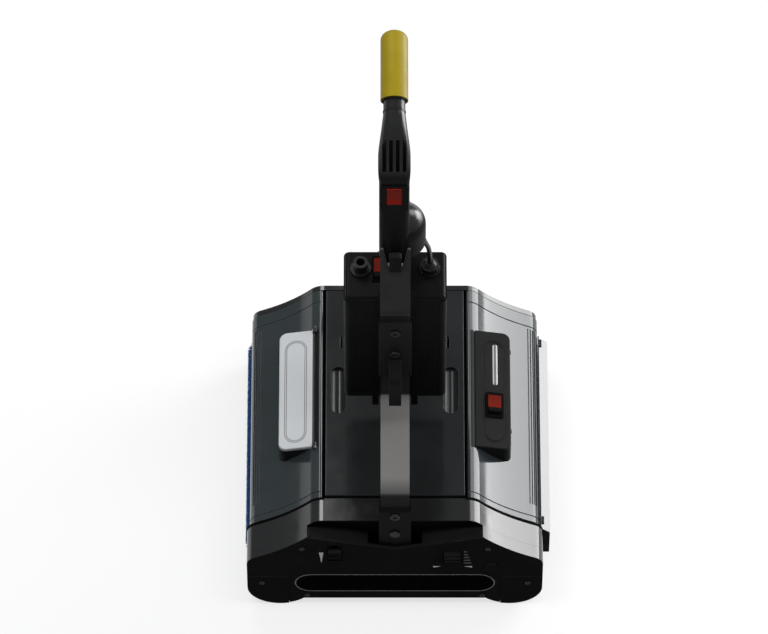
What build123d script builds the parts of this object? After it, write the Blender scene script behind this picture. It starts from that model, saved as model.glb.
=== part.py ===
from build123d import *
import os
from math import acos, atan2, cos, degrees, radians, sin, tan

# Compact floor scrubber with two counter-turning brushes and a steam boiler on a swinging stirrup.
# Millimetres, +Z up, +Y from the front cover to the rear, origin on the floor under the middle.

# Overall sizes
BRUSH_LENGTH = 340.0
END_HALF = 220.5
BODY_TOP_Z = 210.0
SHOULDER_WIDTH = 114.0
PANEL_IN = 2.8

# Cross-section of the deck
CROWN_R = 25.0
STEEP_DEG = 50.0
SHALLOW_DEG = 27.0
END_CORNER_R = 22.0
TANK_INSET = 4.0
REAR_INSET = 5.5
TANK_CORNER_R = 24.0
SKID_R = 49.0
PLATE_BOTTOM_Z = 15.0
PANEL_SEAM = 3.8

# Stations along the deck
COVER_DEPTH = 20.0
COVER_WALL = 5.0
HOUSING_DEPTH = 38.0
HOUSING_WALL = 4.0
HOUSING_RECESS = 6.4
END_PLATE_T = 6.0
BRUSH_END_GAP = 12.5
REAR_PLATE_T = 8.0
SEAT_GAP = 0.3
FACE_GAP = 0.6
TANK_FRONT_GAP = 2.2
COVER_FRONT_GAP = 5.0

# Brushes and their drive
BRUSH_CLEAR = 1.0
BRISTLE_R = 53.5
SLEEVE_R = 30.0
CORE_R = 26.0
JOURNAL_R = 10.0
BEARING_R = 17.0
RUN_FIT = 0.05
BRISTLE_ROWS = 20
BRISTLES_PER_ROW = 10
BRISTLE_WIDTH = 3.0
BRUSH_PULLEY_R = 34.0
DRIVE_PULLEY_R = 18.0
DRUM_PULLEY_R = 26.0
PULLEY_LIP = 3.0
LIP_T = 1.5
BELT_SIDE = 0.5
BELT_WIDTH = 5.0
BELT_T = 2.5
BELT_GAP = 0.3
BRUSH_BELT_Y = 13.0
DRUM_BELT_Y = 23.5
DRIVE_X = 32.0
DRIVE_DROP = 60.0
GEARBOX_HEIGHT = 68.0
GEARBOX_DEPTH = 34.0
MOTOR_R = 36.0
MOTOR_LENGTH = 98.0
DRUM_R = 50.0
DRUM_FLOOR_GAP = 8.0
DRUM_JOURNAL_R = 8.0
SCRAPE_DEG = 40.0

# Tanks and recovery unit
TANK_WALL = 3.0
TANK_BRUSH_GAP = 2.5
TANK_EDGE_R = 4.0
TANK_FOOT = (30.0, 16.0)
GROOVE_DEPTH = 1.1
GROOVE_WIDTH = 1.6
COVER_EDGE_R = 1.2
LID_T = 4.0
SKIRT_T = 3.0
LEDGE_DROP = 24.0
LEDGE_T = 6.0
LEDGE_REACH = 8.5
TUB_HALF = 70.0
TUB_WALL = 2.5
TUB_BACK_GAP = 5.0
TUB_LENGTH = 200.0
POCKET_LAP = 12.0
POCKET_GAP = 6.0
POCKET_FLOOR_Z = 40.0
RECESS_X = 84.0
RECESS_LENGTH = 81.0
RECESS_WIDTH = 22.0
RECESS_DEPTH = 6.0
RECESS_WALL = 2.5
RECESS_SHIFT_Y = 5.5
KEY_SLOT = (21.0, 3.6)
KEY_SLOT_IN = 4.0
KEY_SLOT_BACK = 84.0

# Consoles
CONSOLE_IN = 17.1
CONSOLE_WIDTH = 52.5
CONSOLE_LENGTH = 204.0
CONSOLE_SHIFT_Y = 10.5
CONSOLE_IN_DROP = 1.5
CONSOLE_OUT_DROP = 12.5
CONSOLE_WALL = 3.0
CONSOLE_CORNER_R = 12.0
CONSOLE_GAP = 0.4
LID_RIM = 6.0
HINGE_IN = 1.5
HINGE_LIFT = 2.3
PIN_R = 1.5
KNUCKLE_R = 2.4
KNUCKLE_LENGTH = 5.0
EAR_T = 4.0
EAR_GAP = 0.8
STRIP_IN = 6.5
STRIP_OUT = 2.0
STRIP_T = 0.8
CATCH = (1.5, 5.0, 4.0)
MOUTH_R = 18.0
SIGHT_LENGTH = 72.0
SIGHT_WIDTH = 7.5
SIGHT_X = 3.5
SIGHT_OFFSET_Y = 44.0
CONSOLE_TOP_X = 1.5
CONSOLE_ROCKER_Y = -27.5
RING_Y = -3.0
RING_SIZES = ((178.0, 34.0), (172.8, 28.8))
RING_GROOVE = 0.9
RING_DEPTH = 0.8
CONSOLE_ROCKER = (20.0, 33.0)
CONSOLE_BEZEL = (27.0, 43.0)
ROCKER_TILT = -7.0

# Front controls
V_HALF = 130.0
V_END_DROP = 17.2
V_VERTEX_DROP = 50.4
V_FLOOR_T = 3.0
V_FLOOR_IN = 40.0
BADGE_LENGTH = 300.0
BADGE_HEIGHT = 51.0
BADGE_Z = 60.0
BADGE_DEPTH = 1.2
BADGE_SUNK = 0.2
BRUSH_COVER_IN = 158.0
BRUSH_COVER_TOP = 80.5
BRUSH_COVER_T = 3.0
BRUSH_COVER_PROUD = 0.8
SLIDER_X = -89.6
SLIDER_Z = 148.0
SLIDER_RECESS = (22.2, 46.0)
SLIDER_RECESS_DEPTH = 3.0
SLIDER_TRACK_SHORT = 6.0
SLIDER_KNOB = (20.4, 18.0)
SLIDER_NECK = 8.8
WHEEL_X = 85.4
WHEEL_Z = 136.0
WHEEL_R = 18.0
WHEEL_WIDTH = 25.0
WHEEL_RIBS = 20
WHEEL_INSET = 5.0
WHEEL_GAP = 0.8
AXLE_R = 1.4
AXLE_LUG_R = 4.0
BUTTON_X = 143.7
BUTTON_Z = 111.0
BUTTON_R = 10.0
SCREW_R = 2.0
SCREW_HEAD_R = 4.0
SCREW_BOSS_R = 5.5
SCREW_CLEAR = 0.1
SCREW_HEAD_T = 1.6

# Splash guard on the right side
GUARD_OUT = 11.0
GUARD_T = 2.0
GUARD_FOOT_Z = 52.0
GUARD_END_GAP = 30.0
GUARD_BEND = 10.0
GUARD_FLANGE = 6.0
GUARD_SLOPE = 11.0
GUARD_END_IN = 8.0
CLIP = (4.0, 12.0, 3.5)

# Stirrup
PIVOT_DROP = 14.5
PIVOT_R = 5.0
PIVOT_HEAD_R = 7.4
PIVOT_BOSS_R = 9.5
BAR_WIDTH = 42.5
BAR_T = 8.0
BAR_RUN = 146.5
BEND_RISE = 100.0
POST_RISE = 121.0
PLATE_TOP_RISE = 530.0
LOWER_BEND_R = 20.0
UPPER_BEND_R = 16.0
FRONT_BRACKET_T = 5.5
REAR_BRACKET_T = 3.5
BRACKET_SIDE = 2.5
BRACKET_RISE = 50.5
BRACKET_BEVEL = 3.0
BRACKET_EAR = 12.0
LEG_FOOT = 38.0
FOOT_R = 14.0
HOOK_BRACKET_WALL = 2.55
NOTCH_DEPTH = 50.0
NOTCH_HALF = 17.5
NOTCH_FOOT = 9.7
POST_BELOW_NOTCH = 2.0
SPACER_SIDE = 4.2
SPACER_RISE = 26.0
REAR_SPACER_RISE = -14.0
UPPER_HOOK_REACH = 23.0
UPPER_HOOK_RISE = 36.0
UPPER_HOOK_ROUND = 5.0
STIRRUP_SCREW_R = 7.4
STIRRUP_SHANK_R = 4.0
PIN_HEAD_T = 2.0

# Boiler
BOILER_RISE = 101.0
BOILER_WIDTH = 149.0
BOILER_DEPTH = 86.0
BOILER_HEIGHT = 269.0
BOILER_GAP = 6.0
BOILER_PAN = 14.0
BOILER_FOOT = 28.0
BOILER_FOOT_X = (24.0, 33.5)
BOILER_CAP = 6.5
CAP_INSET = 1.75
BOILER_EDGE_R = 5.0
BOILER_CORNER_R = 8.0
BOILER_WALL = 4.0
BOILER_SWITCH_X = -22.0
BOILER_ROCKER = (18.0, 36.0)
BOILER_BEZEL = (24.0, 43.0)
HEATER_T = 12.0
RIB_PITCH = 4.2
RIB_DEPTH = 1.6
VESSEL_R = 34.0
VESSEL_HEADROOM = 24.0
SOCKET_X = 50.0
SOCKET_BACK = 34.0
COLLAR_R = 15.0
COLLAR_T = 4.0
INLET_R = 10.5
INLET_BORE_R = 6.2
INLET_HEIGHT = 20.0
INLET_FLOOR = 3.0
PLUG_R = 13.0
PLUG_HEIGHT = 14.0
PLUG_TOP = 20.0

# Handle
BRIDGE_RISE = 430.0
BRIDGE_HEIGHT = 70.0
BRIDGE_HALF = 20.0
BARREL_X = 10.5
BARREL_BACK = 10.0
BARREL_R = 33.0
HANDLE_X = -1.7
HANDLE_WIDTH = 43.0
HANDLE_DEPTH = 44.0
HANDLE_CORNER_R = 7.0
NECK_BASE_RISE = 612.0
NECK_STRAIGHT = 68.0
NECK_BEND_R = 71.0
NECK_TURN_DEG = 76.0
GRIP_LENGTH = 124.0
GRIP_END_R = 11.0
GRIP_END_WALL = 4.0
GRIP_COLLAR = 1.5
GRIP_COLLAR_IN = 2.4
NECK_R = 15.5
GRIP_R = 19.6
GRIP_START = 18.0
LEAD_R = 3.5
BARREL_RISE = 61.0
BARREL_HEIGHT = 40.0
CORE_TUBE_R = 12.0
SEAM_T = 2.0
SEAM_LIP = 0.8
NECK_SLOT_PITCH = 9.4
NECK_SLOT_LENGTH = 47.0
NECK_SLOT_WIDTH = 5.2
NECK_SLOT_DEPTH = 9.0
HANDLE_ROCKER = (21.0, 50.0)
HANDLE_BEZEL = (40.0, 61.0)
HANDLE_SWITCH_RISE = 37.0

# Places worked out from the sizes above
DECK_LENGTH = BRUSH_LENGTH + 2 * BRUSH_END_GAP
BODY_DEPTH = COVER_DEPTH + HOUSING_DEPTH + DECK_LENGTH + REAR_PLATE_T
REAR_STACK = BAR_T + REAR_BRACKET_T + 5.0
FRONT_Y = -(BODY_DEPTH + REAR_STACK - (WHEEL_R - WHEEL_INSET)) / 2
HOUSING_Y = FRONT_Y + COVER_DEPTH
HOUSING_WALL_Y = HOUSING_Y + HOUSING_RECESS
DECK_Y = HOUSING_Y + HOUSING_DEPTH
DECK_END_Y = DECK_Y + DECK_LENGTH
DECK_MID_Y = (DECK_Y + DECK_END_Y) / 2
REAR_Y = DECK_END_Y + REAR_PLATE_T
CROWN_X = END_HALF - SHOULDER_WIDTH
PANEL_HALF = CROWN_X - PANEL_IN
BRUSH_X = END_HALF - SKID_R
BRUSH_Z = BRISTLE_R + BRUSH_CLEAR
TANK_HALF = END_HALF - TANK_INSET
TANK_INNER_X = PANEL_HALF + PANEL_SEAM
TANK_FLOOR_Z = BRUSH_Z + BRISTLE_R + TANK_BRUSH_GAP
LEDGE_Z = BODY_TOP_Z - LEDGE_DROP
DRUM_Z = DRUM_R + DRUM_FLOOR_GAP
DRIVE_Z = BODY_TOP_Z - DRIVE_DROP
PIVOT_Z = BODY_TOP_Z - PIVOT_DROP
AXLE_HALF = WHEEL_WIDTH / 2 + 4
LEG_Y = HOUSING_Y - 0.5 - BAR_T / 2
POST_Y = LEG_Y + BAR_RUN
BOILER_Y = POST_Y + BAR_T / 2 + BOILER_GAP
BOILER_MID_Y = BOILER_Y + BOILER_DEPTH / 2
BOILER_Z = BODY_TOP_Z + BOILER_RISE
BOILER_TOP_Z = BOILER_Z + BOILER_HEIGHT
REAR_POST_Y = BOILER_Y + BOILER_DEPTH + BOILER_GAP + BAR_T / 2
REAR_LEG_Y = REAR_Y + 1.0 + BAR_T / 2
PLATE_TOP_Z = BODY_TOP_Z + PLATE_TOP_RISE
NOTCH_Z = PLATE_TOP_Z - NOTCH_DEPTH
POST_TOP_Z = NOTCH_Z - POST_BELOW_NOTCH
BRIDGE_Z = BODY_TOP_Z + BRIDGE_RISE
HEATER_TOP_Z = BOILER_Z + BOILER_PAN + HEATER_T
NECK_BASE_Z = BODY_TOP_Z + NECK_BASE_RISE
HANDLE_Y = POST_Y + BAR_T / 2 + HANDLE_DEPTH / 2
BARREL_Y = HANDLE_Y + BARREL_BACK
BARREL_Z = BRIDGE_Z + BARREL_RISE
BARREL_TOP_Z = BARREL_Z + BARREL_HEIGHT
CONSOLE_X0 = PANEL_HALF + CONSOLE_IN
CONSOLE_X1 = CONSOLE_X0 + CONSOLE_WIDTH
CONSOLE_Y = DECK_MID_Y + CONSOLE_SHIFT_Y
CONSOLE_Y0 = CONSOLE_Y - CONSOLE_LENGTH / 2
CONSOLE_Y1 = CONSOLE_Y + CONSOLE_LENGTH / 2
CONSOLE_TILT = atan2(CONSOLE_OUT_DROP - CONSOLE_IN_DROP, CONSOLE_WIDTH)
HINGE_X = CONSOLE_X0 - HINGE_IN
HINGE_Z = BODY_TOP_Z - CONSOLE_IN_DROP + HINGE_LIFT
HOOK_BRACKET_HALF = BAR_WIDTH / 2 + HOOK_BRACKET_WALL


def rect(x0, x1, z0, z1):
    """Flat rectangle between two corners."""
    return Pos((x0 + x1) / 2, (z0 + z1) / 2) * Rectangle(x1 - x0, z1 - z0)


def along_x(face, x0, x1):
    """Extrudes a (Y, Z) outline from x0 to x1."""
    return extrude(Plane.YZ.offset(x0) * face, amount=x1 - x0)


def along_y(face, y0, y1):
    """Extrudes an (X, Z) outline from y0 to y1."""
    return extrude(Plane.XZ.offset(-y0) * face, amount=y0 - y1)


def along_z(face, z0, z1):
    """Extrudes an (X, Y) outline from z0 to z1."""
    return extrude(Plane.XY.offset(z0) * face, amount=z1 - z0)


def block(x0, x1, y0, y1, z0, z1):
    return along_z(rect(x0, x1, y0, y1), z0, z1)


def rod_y(x, z, radius, y0, y1):
    return along_y(Pos(x, z) * Circle(radius), y0, y1)


def rod_z(x, y, radius, z0, z1):
    return along_z(Pos(x, y) * Circle(radius), z0, z1)


def other_side(shape):
    return mirror(shape, about=Plane.YZ)


def group(pieces):
    """Separate solids kept side by side in one node."""
    return Compound(children=[piece.solid() for piece in pieces])


def shoulder(half_width, corner, inset):
    """Top edge from the middle panel out to the side: crown, hollow slope and rounded corner."""
    steep = radians(STEEP_DEG)
    shallow = radians(SHALLOW_DEG)
    crown_r = CROWN_R - inset
    corner_r = corner - inset
    spare = half_width - inset - CROWN_X - crown_r * sin(steep) - corner_r * (1 - sin(shallow))
    hollow_r = spare / (sin(steep) - sin(shallow))
    crown = JernArc((CROWN_X, BODY_TOP_Z - inset), (1, 0), crown_r, -STEEP_DEG)
    hollow = JernArc(crown @ 1, crown % 1, hollow_r, STEEP_DEG - SHALLOW_DEG)
    edge = JernArc(hollow @ 1, hollow % 1, corner_r, SHALLOW_DEG - 90)
    return [crown, hollow, edge]


def end_outline(inset=0.0, half=END_HALF):
    """Outline of the end housings, with a round skid at each lower corner."""
    top = shoulder(half, END_CORNER_R, inset)
    side_x = half - inset
    floor_z = PLATE_BOTTOM_Z + inset
    past_bottom = degrees(acos((SKID_R - floor_z) / (SKID_R - inset)))
    skid = JernArc((side_x, SKID_R), (0, -1), SKID_R - inset, -90 - past_bottom)
    rim = Polyline([skid @ 1, (0, floor_z), (0, BODY_TOP_Z - inset), (CROWN_X, BODY_TOP_Z - inset)])
    half = make_face([*top, Line(top[-1] @ 1, (side_x, SKID_R)), skid, *rim.edges()])
    return half + other_side(half)


def tank_outline(inset=0.0):
    """Cross-section of the right clean-water tank."""
    top = shoulder(TANK_HALF, TANK_CORNER_R, inset)
    floor_z = TANK_FLOOR_Z + inset
    side_x = TANK_HALF - inset
    corners = [(side_x, floor_z), (CROWN_X, floor_z), (CROWN_X, BODY_TOP_Z - inset)]
    walls = Polyline([top[-1] @ 1, *corners])
    whole = make_face([*top, *walls.edges()])
    return whole - rect(0, TANK_INNER_X + inset, 0, BODY_TOP_Z + 1)


# Front cover and its trim
COVER_SCREWS = [(138.0, BODY_TOP_Z - 48), (-138.0, BODY_TOP_Z - 48), (131.0, 24.0), (-131.0, 24.0)]
BRUSH_COVER_SCREW = (END_HALF - 22.0, 63.0)


def v_outline(drop):
    """Area above the V-shaped top edge of the front cover, lowered by drop."""
    ends = BODY_TOP_Z - V_END_DROP - drop
    top = BODY_TOP_Z + 10
    vertex = (0, BODY_TOP_Z - V_VERTEX_DROP - drop)
    points = [(-V_HALF, top), (-V_HALF, ends), vertex, (V_HALF, ends), (V_HALF, top)]
    return make_face(Polyline(points, close=True))


def brush_cover_outline(gap):
    region = rect(BRUSH_COVER_IN + gap, END_HALF + 1, -1, BRUSH_COVER_TOP - gap)
    return end_outline() & region


def screw(head_r, shank_r, head_t, length):
    """Socket-head screw along +Y: the head's face lies at Y = -head_t, the shank runs to +length."""
    socket = along_y(RegularPolygon(head_r * 0.5, 6), -head_t, -head_t * 0.3)
    return rod_y(0, 0, head_r, -head_t, 0) - socket + rod_y(0, 0, shank_r, 0, length)


def front_cover():
    shell = along_y(end_outline(), FRONT_Y, HOUSING_Y)
    shell -= along_y(end_outline(HOUSING_WALL), FRONT_Y + COVER_WALL, HOUSING_Y)
    for x, z in COVER_SCREWS:
        boss = Pos(x, z) * Circle(SCREW_BOSS_R) & end_outline(HOUSING_WALL + SEAT_GAP)
        shell += along_y(boss, FRONT_Y + COVER_WALL, HOUSING_WALL_Y)
    shell -= along_y(v_outline(0), FRONT_Y, HOUSING_Y)
    floor = v_outline(V_FLOOR_T) - v_outline(0) - rect(-V_FLOOR_IN, V_FLOOR_IN, 0, BODY_TOP_Z)
    shell += along_y(floor & end_outline(HOUSING_WALL + SEAT_GAP), FRONT_Y + COVER_WALL, HOUSING_WALL_Y)
    badge = Pos(0, BADGE_Z) * SlotOverall(BADGE_LENGTH, BADGE_HEIGHT)
    shell -= along_y(badge, FRONT_Y, FRONT_Y + BADGE_DEPTH)
    right_pocket = along_y(brush_cover_outline(0), FRONT_Y, FRONT_Y + BRUSH_COVER_T)
    shell -= right_pocket + other_side(right_pocket)
    for x, z in COVER_SCREWS + [BRUSH_COVER_SCREW, (-BRUSH_COVER_SCREW[0], BRUSH_COVER_SCREW[1])]:
        shell -= rod_y(x, z, SCREW_R + SCREW_CLEAR, FRONT_Y, HOUSING_WALL_Y)
    slider = Pos(SLIDER_X, SLIDER_Z)
    shell -= along_y(slider * Rectangle(*SLIDER_RECESS), FRONT_Y, FRONT_Y + SLIDER_RECESS_DEPTH)
    track = Rectangle(SLIDER_NECK + 2 * SEAT_GAP, SLIDER_RECESS[1] - SLIDER_TRACK_SHORT)
    shell -= along_y(slider * track, FRONT_Y, FRONT_Y + COVER_WALL)
    axle = Pos(FRONT_Y + WHEEL_INSET, WHEEL_Z)
    shell += along_x(axle * Circle(AXLE_LUG_R), WHEEL_X - AXLE_HALF - 1, WHEEL_X + AXLE_HALF + 1)
    window = Rectangle(WHEEL_WIDTH + 2 * WHEEL_GAP, 2 * (WHEEL_R + WHEEL_GAP))
    window_end = FRONT_Y + WHEEL_INSET + AXLE_LUG_R
    shell -= along_y(Pos(WHEEL_X, WHEEL_Z) * window, FRONT_Y, window_end)
    shell -= along_x(axle * Circle(AXLE_R + RUN_FIT), WHEEL_X - AXLE_HALF - 1, WHEEL_X + AXLE_HALF + 1)
    shell -= rod_y(BUTTON_X, BUTTON_Z, BUTTON_R + SEAT_GAP, FRONT_Y, FRONT_Y + COVER_WALL)
    return shell


def badge_plate():
    slot = Pos(0, BADGE_Z) * SlotOverall(BADGE_LENGTH - SEAT_GAP, BADGE_HEIGHT - SEAT_GAP)
    return along_y(slot, FRONT_Y + BADGE_SUNK, FRONT_Y + BADGE_DEPTH)


def brush_cover():
    face_y = FRONT_Y - BRUSH_COVER_PROUD
    back_y = FRONT_Y + BRUSH_COVER_T
    plate = along_y(brush_cover_outline(SEAT_GAP), face_y, back_y)
    return plate - rod_y(*BRUSH_COVER_SCREW, SCREW_R + SCREW_CLEAR, face_y, back_y)


def cover_screws():
    long = screw(SCREW_HEAD_R, SCREW_R, SCREW_HEAD_T, COVER_DEPTH + HOUSING_RECESS + HOUSING_WALL)
    short = screw(SCREW_HEAD_R, SCREW_R, SCREW_HEAD_T, COVER_WALL + BRUSH_COVER_PROUD)
    screws = [Pos(x, FRONT_Y, z) * long for x, z in COVER_SCREWS]
    for side in (1, -1):
        at = Pos(side * BRUSH_COVER_SCREW[0], FRONT_Y - BRUSH_COVER_PROUD, BRUSH_COVER_SCREW[1])
        screws.append(at * short)
    return group(screws)


def flow_slider():
    """Vertical slider: knob in its recess, neck through the wall, flange behind it."""
    at = Pos(SLIDER_X, SLIDER_Z)
    seat = FRONT_Y + SLIDER_RECESS_DEPTH - SEAT_GAP
    knob = along_y(at * RectangleRounded(*SLIDER_KNOB, 1.5), FRONT_Y - 5, seat)
    knob -= along_y(at * Rectangle(SLIDER_KNOB[0], 4), FRONT_Y - 5, FRONT_Y - 2.5)
    back = FRONT_Y + COVER_WALL + SEAT_GAP
    neck = along_y(at * Rectangle(SLIDER_NECK, 10), seat, back)
    return knob + neck + along_y(at * Rectangle(16, 14), back, back + 1.8)


def pressure_wheel():
    """Ribbed wheel turning about X in a window of the front wall."""
    ribs = PolarLocations(WHEEL_R - 1.2, WHEEL_RIBS) * Rectangle(2.4, 2.2)
    section = Circle(WHEEL_R - 1.4) + ribs
    at = Pos(FRONT_Y + WHEEL_INSET, WHEEL_Z)
    wheel = along_x(at * section, WHEEL_X - WHEEL_WIDTH / 2, WHEEL_X + WHEEL_WIDTH / 2)
    return wheel + along_x(at * Circle(AXLE_R), WHEEL_X - AXLE_HALF, WHEEL_X + AXLE_HALF)


def push_button():
    back = FRONT_Y + COVER_WALL + SEAT_GAP
    cap = rod_y(BUTTON_X, BUTTON_Z, BUTTON_R, FRONT_Y - 4, back)
    cap = fillet(cap.faces().sort_by(Axis.Y)[0].edges(), 1.5)
    return cap + rod_y(BUTTON_X, BUTTON_Z, BUTTON_R + 2, back, back + 1.5)


# End housings, plates and rods
TIE_RODS = [(TANK_INNER_X - 6, 96.0), (6 - TANK_INNER_X, 96.0)]
TIE_ROD_R = 5.0
BEARING_SEATS = [
    (BRUSH_X, BRUSH_Z, BEARING_R, JOURNAL_R),
    (-BRUSH_X, BRUSH_Z, BEARING_R, JOURNAL_R),
    (0.0, DRUM_Z, BEARING_R - 3, DRUM_JOURNAL_R),
]


def drive_housing():
    """Sleeve with a wall set back from its front edge, behind the stirrup's leg."""
    shell = along_y(end_outline(), HOUSING_Y, DECK_Y)
    shell -= along_y(end_outline(HOUSING_WALL), HOUSING_Y, DECK_Y)
    shell += along_y(end_outline(HOUSING_WALL), HOUSING_WALL_Y, HOUSING_WALL_Y + HOUSING_WALL)
    for x, z in COVER_SCREWS:
        shell -= rod_y(x, z, SCREW_R + SCREW_CLEAR, HOUSING_WALL_Y, HOUSING_WALL_Y + HOUSING_WALL)
    shell += rod_y(0, PIVOT_Z, PIVOT_BOSS_R, HOUSING_Y, HOUSING_WALL_Y)
    return shell - rod_y(0, PIVOT_Z, PIVOT_R + RUN_FIT, HOUSING_Y, HOUSING_WALL_Y + HOUSING_WALL)


def end_plate(face, y0, y1):
    """Plate that carries the shaft bearings and the tie rods."""
    plate = along_y(face, y0, y1)
    for x, z, outer_r, _ in BEARING_SEATS:
        plate -= rod_y(x, z, outer_r + RUN_FIT, y0, y1)
    for x, z in TIE_RODS:
        plate -= rod_y(x, z, TIE_ROD_R + RUN_FIT, y0, y1)
    return plate


def front_end_plate():
    plate = end_plate(end_outline(HOUSING_WALL + 0.2), DECK_Y - END_PLATE_T, DECK_Y)
    for side in (1, -1):
        plate -= rod_y(side * DRIVE_X, DRIVE_Z, 7, DECK_Y - END_PLATE_T, DECK_Y)
    return plate


def rear_end_plate():
    plate = end_plate(end_outline(half=END_HALF - REAR_INSET), DECK_END_Y, REAR_Y)
    return plate - rod_y(0, PIVOT_Z, PIVOT_R + RUN_FIT, DECK_END_Y, REAR_Y)


def tie_rods():
    rods = [rod_y(x, z, TIE_ROD_R, DECK_Y - END_PLATE_T, REAR_Y) for x, z in TIE_RODS]
    return group(rods)


def shaft_bearings():
    rings = []
    for x, z, outer_r, shaft_r in BEARING_SEATS:
        for y0, y1 in ((DECK_Y - END_PLATE_T, DECK_Y), (DECK_END_Y, REAR_Y)):
            rings.append(rod_y(x, z, outer_r, y0, y1) - rod_y(x, z, shaft_r + RUN_FIT, y0, y1))
    return group(rings)


def pivot_pins():
    """Headed pins that the stirrup's two legs swing on."""
    front_face = LEG_Y - BAR_T / 2 - FRONT_BRACKET_T - SEAT_GAP
    front = rod_y(0, PIVOT_Z, PIVOT_R, front_face, HOUSING_WALL_Y + HOUSING_WALL)
    front += rod_y(0, PIVOT_Z, PIVOT_HEAD_R, front_face - PIN_HEAD_T, front_face)
    rear_face = REAR_LEG_Y + BAR_T / 2 + REAR_BRACKET_T + SEAT_GAP
    rear = rod_y(0, PIVOT_Z, PIVOT_R, DECK_END_Y, rear_face)
    rear += rod_y(0, PIVOT_Z, PIVOT_HEAD_R, rear_face, rear_face + PIN_HEAD_T)
    return group([front, rear])


# Brushes, drum and belts
CORE_Y0 = DECK_Y + BRUSH_END_GAP
CORE_Y1 = CORE_Y0 + BRUSH_LENGTH


def brush_core():
    core = rod_y(BRUSH_X, BRUSH_Z, CORE_R, CORE_Y0, CORE_Y1)
    core += rod_y(BRUSH_X, BRUSH_Z, JOURNAL_R, HOUSING_Y + BRUSH_BELT_Y - BELT_SIDE - LIP_T, REAR_Y)
    return core + pulley(BRUSH_X, BRUSH_Z, BRUSH_PULLEY_R, [BRUSH_BELT_Y])


def bristle_roll():
    """Many-sided sleeve with rows of square tufts, each row set half a step from the last."""
    sleeve = Pos(0, 0) * RegularPolygon(SLEEVE_R, BRISTLE_ROWS, major_radius=False)
    roll = along_y(sleeve - Circle(CORE_R + RUN_FIT), CORE_Y0, CORE_Y1)
    step = BRUSH_LENGTH / BRISTLES_PER_ROW
    tufts = []
    for row in range(BRISTLE_ROWS):
        turn = Rot(0, 360 / BRISTLE_ROWS * (row + 0.5), 0)
        for place in range(BRISTLES_PER_ROW):
            y = CORE_Y0 + step * (place + (0.25 if row % 2 else 0.75))
            tuft = block(
                SLEEVE_R - 1, BRISTLE_R, y - BRISTLE_WIDTH / 2, y + BRISTLE_WIDTH / 2,
                -BRISTLE_WIDTH / 2, BRISTLE_WIDTH / 2,
            )
            tufts.append(turn * tuft)
    roll = roll.fuse(*tufts)
    return Pos(BRUSH_X, 0, BRUSH_Z) * roll


def pulley(x, z, radius, offsets):
    """Flat-belt pulley with a lip each side of every belt."""
    wheel = None
    for offset in offsets:
        y0 = HOUSING_Y + offset - BELT_SIDE
        y1 = HOUSING_Y + offset + BELT_WIDTH + BELT_SIDE
        part = rod_y(x, z, radius, y0 - LIP_T, y1 + LIP_T)
        for lip in (y0 - LIP_T, y1):
            part += rod_y(x, z, radius + PULLEY_LIP, lip, lip + LIP_T)
        wheel = part if wheel is None else wheel + part
    if len(offsets) > 1:
        wheel += rod_y(x, z, radius, HOUSING_Y + min(offsets), HOUSING_Y + max(offsets))
    return wheel


def belt(first, second, offset):
    """Flat belt round two pulleys, each given as (x, z, radius)."""
    hulls = []
    for grow in (BELT_GAP + BELT_T, BELT_GAP):
        edges = [edge for x, z, r in (first, second) for edge in (Pos(x, z) * Circle(r + grow)).edges()]
        hulls.append(make_hull(edges))
    y0 = HOUSING_Y + offset
    return along_y(hulls[0] - hulls[1], y0, y0 + BELT_WIDTH)


def drum():
    roll = rod_y(0, DRUM_Z, DRUM_R, DECK_Y + 3, DECK_END_Y - 3)
    roll += rod_y(0, DRUM_Z, DRUM_JOURNAL_R, HOUSING_Y + DRUM_BELT_Y - 4, REAR_Y)
    return roll + pulley(0, DRUM_Z, DRUM_PULLEY_R, [DRUM_BELT_Y])


def scraper():
    """Blade just off the drum, with a tray that slopes down into the recovery tub."""
    angle = radians(SCRAPE_DEG)
    reach = DRUM_R + SEAT_GAP
    tip = (reach * sin(angle), DRUM_Z + reach * cos(angle))
    end = (TUB_HALF - 14.0, tip[1] - 9.0)
    outline = [tip, (end[0], end[1]), (end[0], end[1] + 3), (tip[0] + 1.5, tip[1] + 2.5)]
    return along_y(make_face(Polyline(outline, close=True)), DECK_Y + SEAT_GAP, DECK_END_Y - SEAT_GAP)


def gearbox():
    outline = RectangleRounded(2 * DRIVE_X + 44, GEARBOX_HEIGHT, 14)
    return along_y(Pos(0, DRIVE_Z) * outline, DECK_Y, DECK_Y + GEARBOX_DEPTH)


def motor():
    y0 = DECK_Y + GEARBOX_DEPTH
    y1 = y0 + MOTOR_LENGTH
    finned = Circle(MOTOR_R) + PolarLocations(MOTOR_R, 16) * Rectangle(4, 3)
    can = rod_y(0, DRIVE_Z, MOTOR_R, y0, y1) + along_y(Pos(0, DRIVE_Z) * finned, y0 + 14, y1 - 14)
    return can + rod_y(0, DRIVE_Z, MOTOR_R / 2, y1, y1 + 6)


def drive_pulley(side, offsets):
    wheel = pulley(side * DRIVE_X, DRIVE_Z, DRIVE_PULLEY_R, offsets)
    return wheel + rod_y(side * DRIVE_X, DRIVE_Z, 6, HOUSING_Y + max(offsets), DECK_Y - SEAT_GAP)


# Clean-water tanks
TANK_Y0 = DECK_Y + TANK_FRONT_GAP
TANK_Y1 = DECK_END_Y - FACE_GAP


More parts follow.
